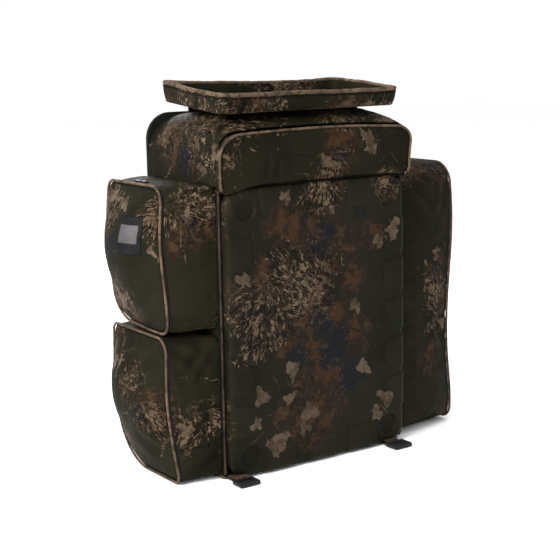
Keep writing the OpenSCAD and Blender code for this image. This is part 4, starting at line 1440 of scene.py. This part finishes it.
def make_tray():
    """The lid: a shallow padded tray with a bound rim, tilted forwards."""
    count = 260
    rings, wall_top = [], 30.0

    def ring(grow, height, follow=0.0):
        loop = tray_outline(grow, 18 + grow, count)
        lift = np.array([rim_lift(x, y) for x, y in loop]) * follow
        belly = np.array([1.0 * wander((x, y, height), 46, 12.0) for x, y in loop]) * follow
        loop = loop + loop / np.linalg.norm(loop, axis=1)[:, None] * belly[:, None]
        return from_tray(np.stack([loop[:, 0], loop[:, 1], height + lift], axis=1))

    for grow in (-80, -50, -20, -4):
        rings.append(ring(grow, 0.3) if grow > -17 else shrunk_ring(grow, 0.3, count))
    rings.append(ring(-1.5, 0.8))
    rings.append(ring(0, 2.5))
    for t in np.linspace(0.1, 1, 9):
        rings.append(ring(4.5 * t + 1.6 * math.sin(math.pi * t), 2.5 + (wall_top - 2.5) * t, t))
    for t in np.linspace(1, 0.1, 9):
        rings.append(ring(4.5 * t - 5.5 - 1.0 * math.sin(math.pi * t), 3.5 + (wall_top - 3.5) * t, t))
    rings.append(ring(-6.5, 4.2))
    for grow in (-20, -50, -80):
        rings.append(shrunk_ring(grow, 3.6, count))
    tray = make_mesh("tray_cloth", *closed_loft([list(r) for r in rings]), [CAMO])
    print_motifs(tray)
    place_on(tray, "lid", "camo_fabric", "tray_floor", "tray_wall")
    path = (ring(5.0, wall_top, 1.0) + ring(-0.5, wall_top, 1.0)) / 2
    rim = tube("tray_rim_binding", path, 3.6, [BINDING], closed=True, sides=14, spacing=3, squash=1.0)
    crease(rim, lambda p: 0.5 * wander(p, 12, 3.0), lambda ps: np.ones(len(ps)))
    place_on(rim, "lid", "camo_binding", "tray_binding")
    # A thin dark cord round the wall just under the rim: painted shadow under the rim binding.
    low_path = ring(4.9, wall_top - 5.4, 0.9)
    place_on(tube("tray_rim_seam", low_path, 0.9, [GAP_SHADOW], closed=True, sides=6), "lid", "camo_binding")


def shrunk_ring(grow, height, count):
    """A ring on the tray's floor, drawn in towards its middle."""
    loop = tray_outline(grow, min(10, TRAY_DEPTH + grow - 1), count)
    return from_tray(np.stack([loop[:, 0], loop[:, 1], np.full(count, float(height))], axis=1))


def make_lid_pad():
    """The pad under the tray that closes the mouth."""
    low, high = span("lid_pad")
    rows, columns = 30, 60
    top, bottom = [], []
    for y in np.linspace(low[1], high[1], rows):
        for x in np.linspace(low[0], high[0], columns):
            edge = min(x - low[0], high[0] - x, y - low[1], high[1] - y)
            roof = HINGE_POINT[2] + (y - HINGE_POINT[1]) * math.tan(TRAY_TILT)
            dome = top_at(y) - 6 * (x / (SIDE_X - SHOULDER_R)) ** 2
            base = min(dome + 1.6, roof - 2)
            mid = (roof + base) / 2
            swell = float(ease((edge + 1.5) / 7))
            top.append((x, y, mid + (roof - 0.2 - mid) * swell))
            bottom.append((x, y, mid + (base - mid) * swell))
    faces = grid_faces(rows, columns)
    count = rows * columns
    faces += [tuple(count + i for i in reversed(f)) for f in faces]
    border = grid_border(rows, columns)
    faces += [(after, before, count + before, count + after)
              for before, after in zip(border, border[1:] + border[:1])]
    pad = make_mesh("lid_pad_cloth", top + bottom, faces, [LINING])
    place_on(pad, "lid", "camo_fabric", "lid_pad")


# ---------------------------------------------------------------- harness


def make_pad(name, low, high, round_to, channels):
    """A foam pad in spacer mesh, blown up as cloth, with sewn channels pressed in afterwards."""
    outline = rounded_outline(low[0] + 1, high[0] - 1, low[2] + 1, high[2] - 1, (round_to,) * 4, 160)
    centre = outline.mean(axis=0)
    base, peak = low[1], high[1]
    rings = [[(x, base + 0.5, z) for x, z in centre + (outline - centre) * s] for s in (0.2, 0.6, 0.97)]
    rings.append([(x, base + 4, z) for x, z in outline])
    for share in (0.985, 0.94, 0.85, 0.7, 0.5, 0.3, 0.1):
        height = base + 7 + (peak - base - 10) * (1 - share**5)
        rings.append([(x, height, z) for x, z in centre + (outline - centre) * share])
    pad = make_mesh(name, *closed_loft(rings), [MESH])
    seam = [(x, base + 4, z) for x, z in outline[::2]]
    puff(pad, [np.array(seam)], cap=6, pressure=3)
    points = vertex_array(pad)
    points[:, 1] = np.clip(points[:, 1], base + 0.2, peak + 4)
    set_vertices(pad, points)
    for path in channels:
        pull_in(pad, resample(path, 60), 4.5, 5)
    path = np.array([(x, base + 3.2, z) for x, z in outline])
    edge = tube(name + "_edge", path, 2.4, [WEBBING], closed=True, sides=8)
    whole = joined(name, [pad, edge])
    place_on(whole, "bag", "padded_mesh", name.replace("_mesh", ""))


def make_back_pads():
    for name in ("back_pad_left", "back_pad_right", "lumbar_pad"):
        low, high = span(name)
        channels = []
        if name == "lumbar_pad":
            for x in (-75, 0, 75):
                channels.append([(x, high[1], low[2] + 14), (x, high[1], high[2] - 14)])
        else:
            for z in (305, 370, 435):
                channels.append([(low[0] + 12, high[1], z), (high[0] - 12, high[1], z)])
        make_pad(name + "_mesh", low, high, 22, channels)


def strap_centre(side, count=60):
    """The middle line of a shoulder strap, from its yoke down to its ladder lock."""
    top, bottom, bow = np.array([125.0, 540.0]), np.array([145.0, 195.0]), 26
    across = np.array([-(bottom - top)[1], (bottom - top)[0]])
    across = across / np.linalg.norm(across)
    path = []
    for t in np.linspace(0, 1, count):
        y, z = top + (bottom - top) * t + across * bow * math.sin(math.pi * t)
        path.append((side * 96, y, z))
    return np.array(path)


def make_strap(word, side):
    body = word + "_strap"
    path = strap_centre(side)
    ahead = np.gradient(path, axis=0)
    ahead /= np.linalg.norm(ahead, axis=1)[:, None]
    across = np.array([1.0, 0, 0])
    out = np.cross(across, ahead)
    if out[30][1] < 0:
        out = -out
    rings = []
    for k, (p, o) in enumerate(zip(path, out)):
        t = k / (len(path) - 1)
        half = 33 - 12 * float(ease((t - 0.86) / 0.14)) - 3 * float(ease((0.06 - t) / 0.06))
        thick = 5.8 * (1 - 0.35 * float(ease((t - 0.9) / 0.1)))
        ring = []
        for turn in np.linspace(0, 2 * math.pi, 33)[:-1]:
            c, s = math.cos(turn), math.sin(turn)
            x = half * math.copysign(abs(c) ** 0.55, c)
            y = thick * math.copysign(abs(s) ** 0.8, s)
            ring.append(p + across * x + o * y)
        rings.append(ring)
    pad = make_mesh(word + "_shoulder_strap_mesh", *closed_loft(rings), [MESH])
    parts = [pad]
    for edge in (-1, 1):
        reach = 33 - 12 * ease((np.arange(len(path)) / 59 - 0.86) / 0.14)
        line = path + across * edge * reach[:, None]
        parts.append(tube(word + "_strap_edge_%d" % (edge + 1), line[1:-1], 2.2, [WEBBING], sides=8))
    centre = path + out * 6.4
    parts.append(ribbon(word + "_strap_web", centre[4:-2], across, 26, 1.5, [WEBBING]))
    for t in (14, 30, 46):
        line = path[t:t + 3] + out[t:t + 3] * 7.6
        bar = ribbon(word + "_strap_bar_%d" % t, line, across, 40, 1.4, [WEBBING])
        parts.append(bar)
    whole = joined(word + "_shoulder_strap_pad", parts)
    place_on(whole, body, "padded_mesh", word + "_shoulder_strap")
    low, high = span(word + "_ladder_lock")
    make_ladder_lock(word + "_ladder_lock_moulding", low, high, 2, body, word + "_ladder_lock")
    foot, lock = np.array([side * 96, 113.5, 39.0]), np.array([side * 96, 139.5, 170.0])
    line = []
    for t in np.linspace(0, 1, 26):
        p = foot * (1 - t) + lock * t
        p[1] += 7 * math.sin(math.pi * t) ** 1.4
        line.append(p)
    web = ribbon(word + "_lower_webbing_band", line, across, 25, 1.6, [WEBBING])
    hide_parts("lower_webbing")
    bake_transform(web)
    foot_low, foot_high = (side * 96 - 16, 110.8, 24), (side * 96 + 16, 114.2, 46)
    patch = soft_box(word + "_webbing_foot", foot_low, foot_high, 1.2, [WEBBING])
    place_on(patch, "bag", "black_webbing")


def make_ladder_lock(name, low, high, long_axis, body, *nodes):
    """A moulded frame with three bars. long_axis is the way that the webbing runs, and X is its width."""
    size = high - low
    thin = 1 if long_axis == 2 else 2
    bars = []
    steps = (0.0, 0.42, 0.80)
    for k, step in enumerate(steps):
        a, b = low.copy(), high.copy()
        a[long_axis] = low[long_axis] + size[long_axis] * step
        b[long_axis] = a[long_axis] + size[long_axis] * 0.19
        a[0] += 2
        b[0] -= 2
        if k == 1:
            b[thin] -= size[thin] * 0.25
        bars.append(soft_box(name + "_bar_%d" % k, a, b, 1.2, [PLASTIC]))
    for side in (0, 1):
        a, b = low.copy(), high.copy()
        if side:
            a[0] = high[0] - 4.5
        else:
            b[0] = low[0] + 4.5
        bars.append(soft_box(name + "_rail_%d" % side, a, b, 1.3, [PLASTIC]))
    for k in range(5):
        a, b = low.copy(), high.copy()
        a[0] = low[0] + 7 + k * (size[0] - 16) / 4.6
        b[0] = a[0] + 1.6
        b[long_axis] = low[long_axis] + size[long_axis] * 0.16
        a[thin] = low[thin]
        b[thin] = high[thin] + 0.5
        bars.append(soft_box(name + "_rib_%d" % k, a, b, 0.5, [PLASTIC], segments=2))
    place_on(joined(name, bars), body, "black_plastic", *nodes)


def make_haul_handle():
    """A webbing loop that hangs from its patch."""
    low, high = span("haul_handle")
    mid_y = (low[1] + high[1]) / 2
    half, drop = (high[0] - low[0]) / 2 - 7, 20.0
    path = [(-half, high[2] - 1), (-half, low[2] + drop + 7)]
    for k in range(1, 9):
        turn = math.pi + math.pi / 2 * k / 8
        path.append((-half + drop + drop * math.cos(turn), low[2] + 7 + drop + drop * math.sin(turn)))
    path += [(-x, z) for x, z in path[::-1]]
    path = resample(path, 70)
    line = np.stack([path[:, 0], np.full(70, mid_y), path[:, 1]], axis=1)
    ahead = np.gradient(line, axis=0)
    side = np.cross(ahead, (0, 1, 0))
    side /= np.linalg.norm(side, axis=1)[:, None]
    loop = ribbon("haul_handle_webbing", line, side, 14, 3.4, [WEBBING])
    place_on(loop, "haul_handle", "black_webbing", "haul_handle")
    a, b = span("handle_patch")
    patch = soft_box("handle_patch_cloth", a + (0, -0.5, 0), b + (0, 2.8, 0), 1.4, [WEBBING])
    place_on(patch, "bag", "black_webbing", "handle_patch")
    for word, side_sign in (("left", -1), ("right", 1)):
        low, high = span("strap_yoke")
        x = side_sign * 96
        yoke_low, yoke_high = (x - 42, 110.6, low[2]), (x + 42, high[1] + 1, high[2])
        yoke = soft_box(word + "_yoke_patch", yoke_low, yoke_high, 2.5, [WEBBING])
        place_on(yoke, "bag", "black_webbing", "strap_yoke")


def make_base_tab(word, x):
    """A webbing tab folded over a ladder lock in front of the base."""
    low, high = span(word + "_base_buckle")
    reach = {"left": (-1.5, 0.5), "right": (1.5, 2.5)}[word]
    low = low - (0, reach[1], 0)
    low[0], high[0] = low[0] + reach[0], high[0] + reach[0]
    buckle = word + "_base_buckle"
    make_ladder_lock(buckle + "_moulding", low, high, 1, buckle, buckle)
    web_low, web_high = span("base_webbing")
    line = [
        (x, web_high[1] + 4, 2.2), (x, web_low[1] + 6, 2.3), (x, web_low[1] - 1, 4.0),
        (x, web_low[1] - 1.5, 7.4), (x, web_low[1] + 4, 8.6), (x, web_high[1] - 2, 6.6),
    ]
    tab = ribbon(word + "_base_tab", resample(line, 40), (1, 0, 0), 25, 1.9, [CAMO_WEBBING])
    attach(tab, "bag")
    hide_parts("base_webbing")


# ---------------------------------------------------------------- zip sliders and pulls


def make_slider(word):
    low, high = span(word + "_slider")
    size = high - low
    thin = int(np.argmin(size))
    long = int(np.argmax(size))
    base = soft_box(word + "_slider_base", low, high, 1.1, [METAL])
    bridge_low, bridge_high = low.copy(), high.copy()
    bridge_low[long] += size[long] * 0.2
    bridge_high[long] -= size[long] * 0.2
    wide = 3 - thin - long
    bridge_low[wide] += size[wide] * 0.35
    bridge_high[wide] -= size[wide] * 0.35
    bridge = soft_box(word + "_slider_bridge", bridge_low, bridge_high, 0.8, [METAL])
    place_on(joined(word + "_slider_body", [base, bridge]), word + "_slider", "black_metal", word + "_slider")


def make_pull(word):
    """A cord loop with a moulded end."""
    low, high = span(word + "_pull")
    size = high - low
    centre = (low + high) / 2
    thin, long = int(np.argmin(size)), int(np.argmax(size))
    wide = 3 - thin - long
    slider = sum(span(word + "_slider")) / 2
    root = -1 if abs(low[long] - slider[long]) < abs(high[long] - slider[long]) else 1

    def at(along, across):
        p = centre.copy()
        p[long] += root * (size[long] / 2 - along)
        p[wide] += across
        return p

    loop = [at(9, 2.0), at(4, 2.2), at(1.6, 1.4), at(1.0, 0), at(1.6, -1.4), at(4, -2.2), at(9, -2.0)]
    cord = tube(word + "_pull_cord", loop, 1.0, [RUBBER], sides=8, spacing=1.0)
    a, b = at(8, -size[wide] / 2), at(size[long], size[wide] / 2)
    grip_low, grip_high = np.minimum(a, b), np.maximum(a, b)
    grip_low[thin], grip_high[thin] = low[thin] - 0.3, high[thin] + 0.3
    grip = soft_box(word + "_pull_grip", grip_low, grip_high, 1.0, [RUBBER])
    place_on(joined(word + "_pull_loop", [cord, grip]), word + "_pull", "pull_cord", word + "_pull")


def dress_kept_nodes():
    """Better materials on the CAD parts that stay."""
    looks = {
        "base_panel": CAMO, "back_panel": LINING, "divider_wall": LINING, "hood_shelf": LINING,
        "frame_sheet": PLASTIC, "lid_hinge_strip": WEBBING, "mouth_zip": TAPE, "front_zip": TAPE,
        "hood_zip": TAPE, "front_lining": LINING,
    }
    for name, material in looks.items():
        node = frame["nodes"][name]
        node.data.materials.clear()
        node.data.materials.append(material)


# ---------------------------------------------------------------- the whole

make_camera()
make_studio()
scattered_motifs()
make_body()
make_hood()
make_body_edges()
make_back()
make_door()
make_pockets()
make_tray()
make_lid_pad()
make_back_pads()
make_strap("left", -1)
make_strap("right", 1)
make_haul_handle()
make_base_tab("left", -171)
make_base_tab("right", 148)
for zip_name in ("lid", "left_upper_front", "left_upper_rear", "left_lower", "right", "front", "hood"):
    make_slider(zip_name)
    make_pull(zip_name)
dress_kept_nodes()

boxes = {"cad": (CAD_LOW, CAD_HIGH), "visual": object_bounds()}
{key: [list(corner) for corner in pair] for key, pair in boxes.items()}
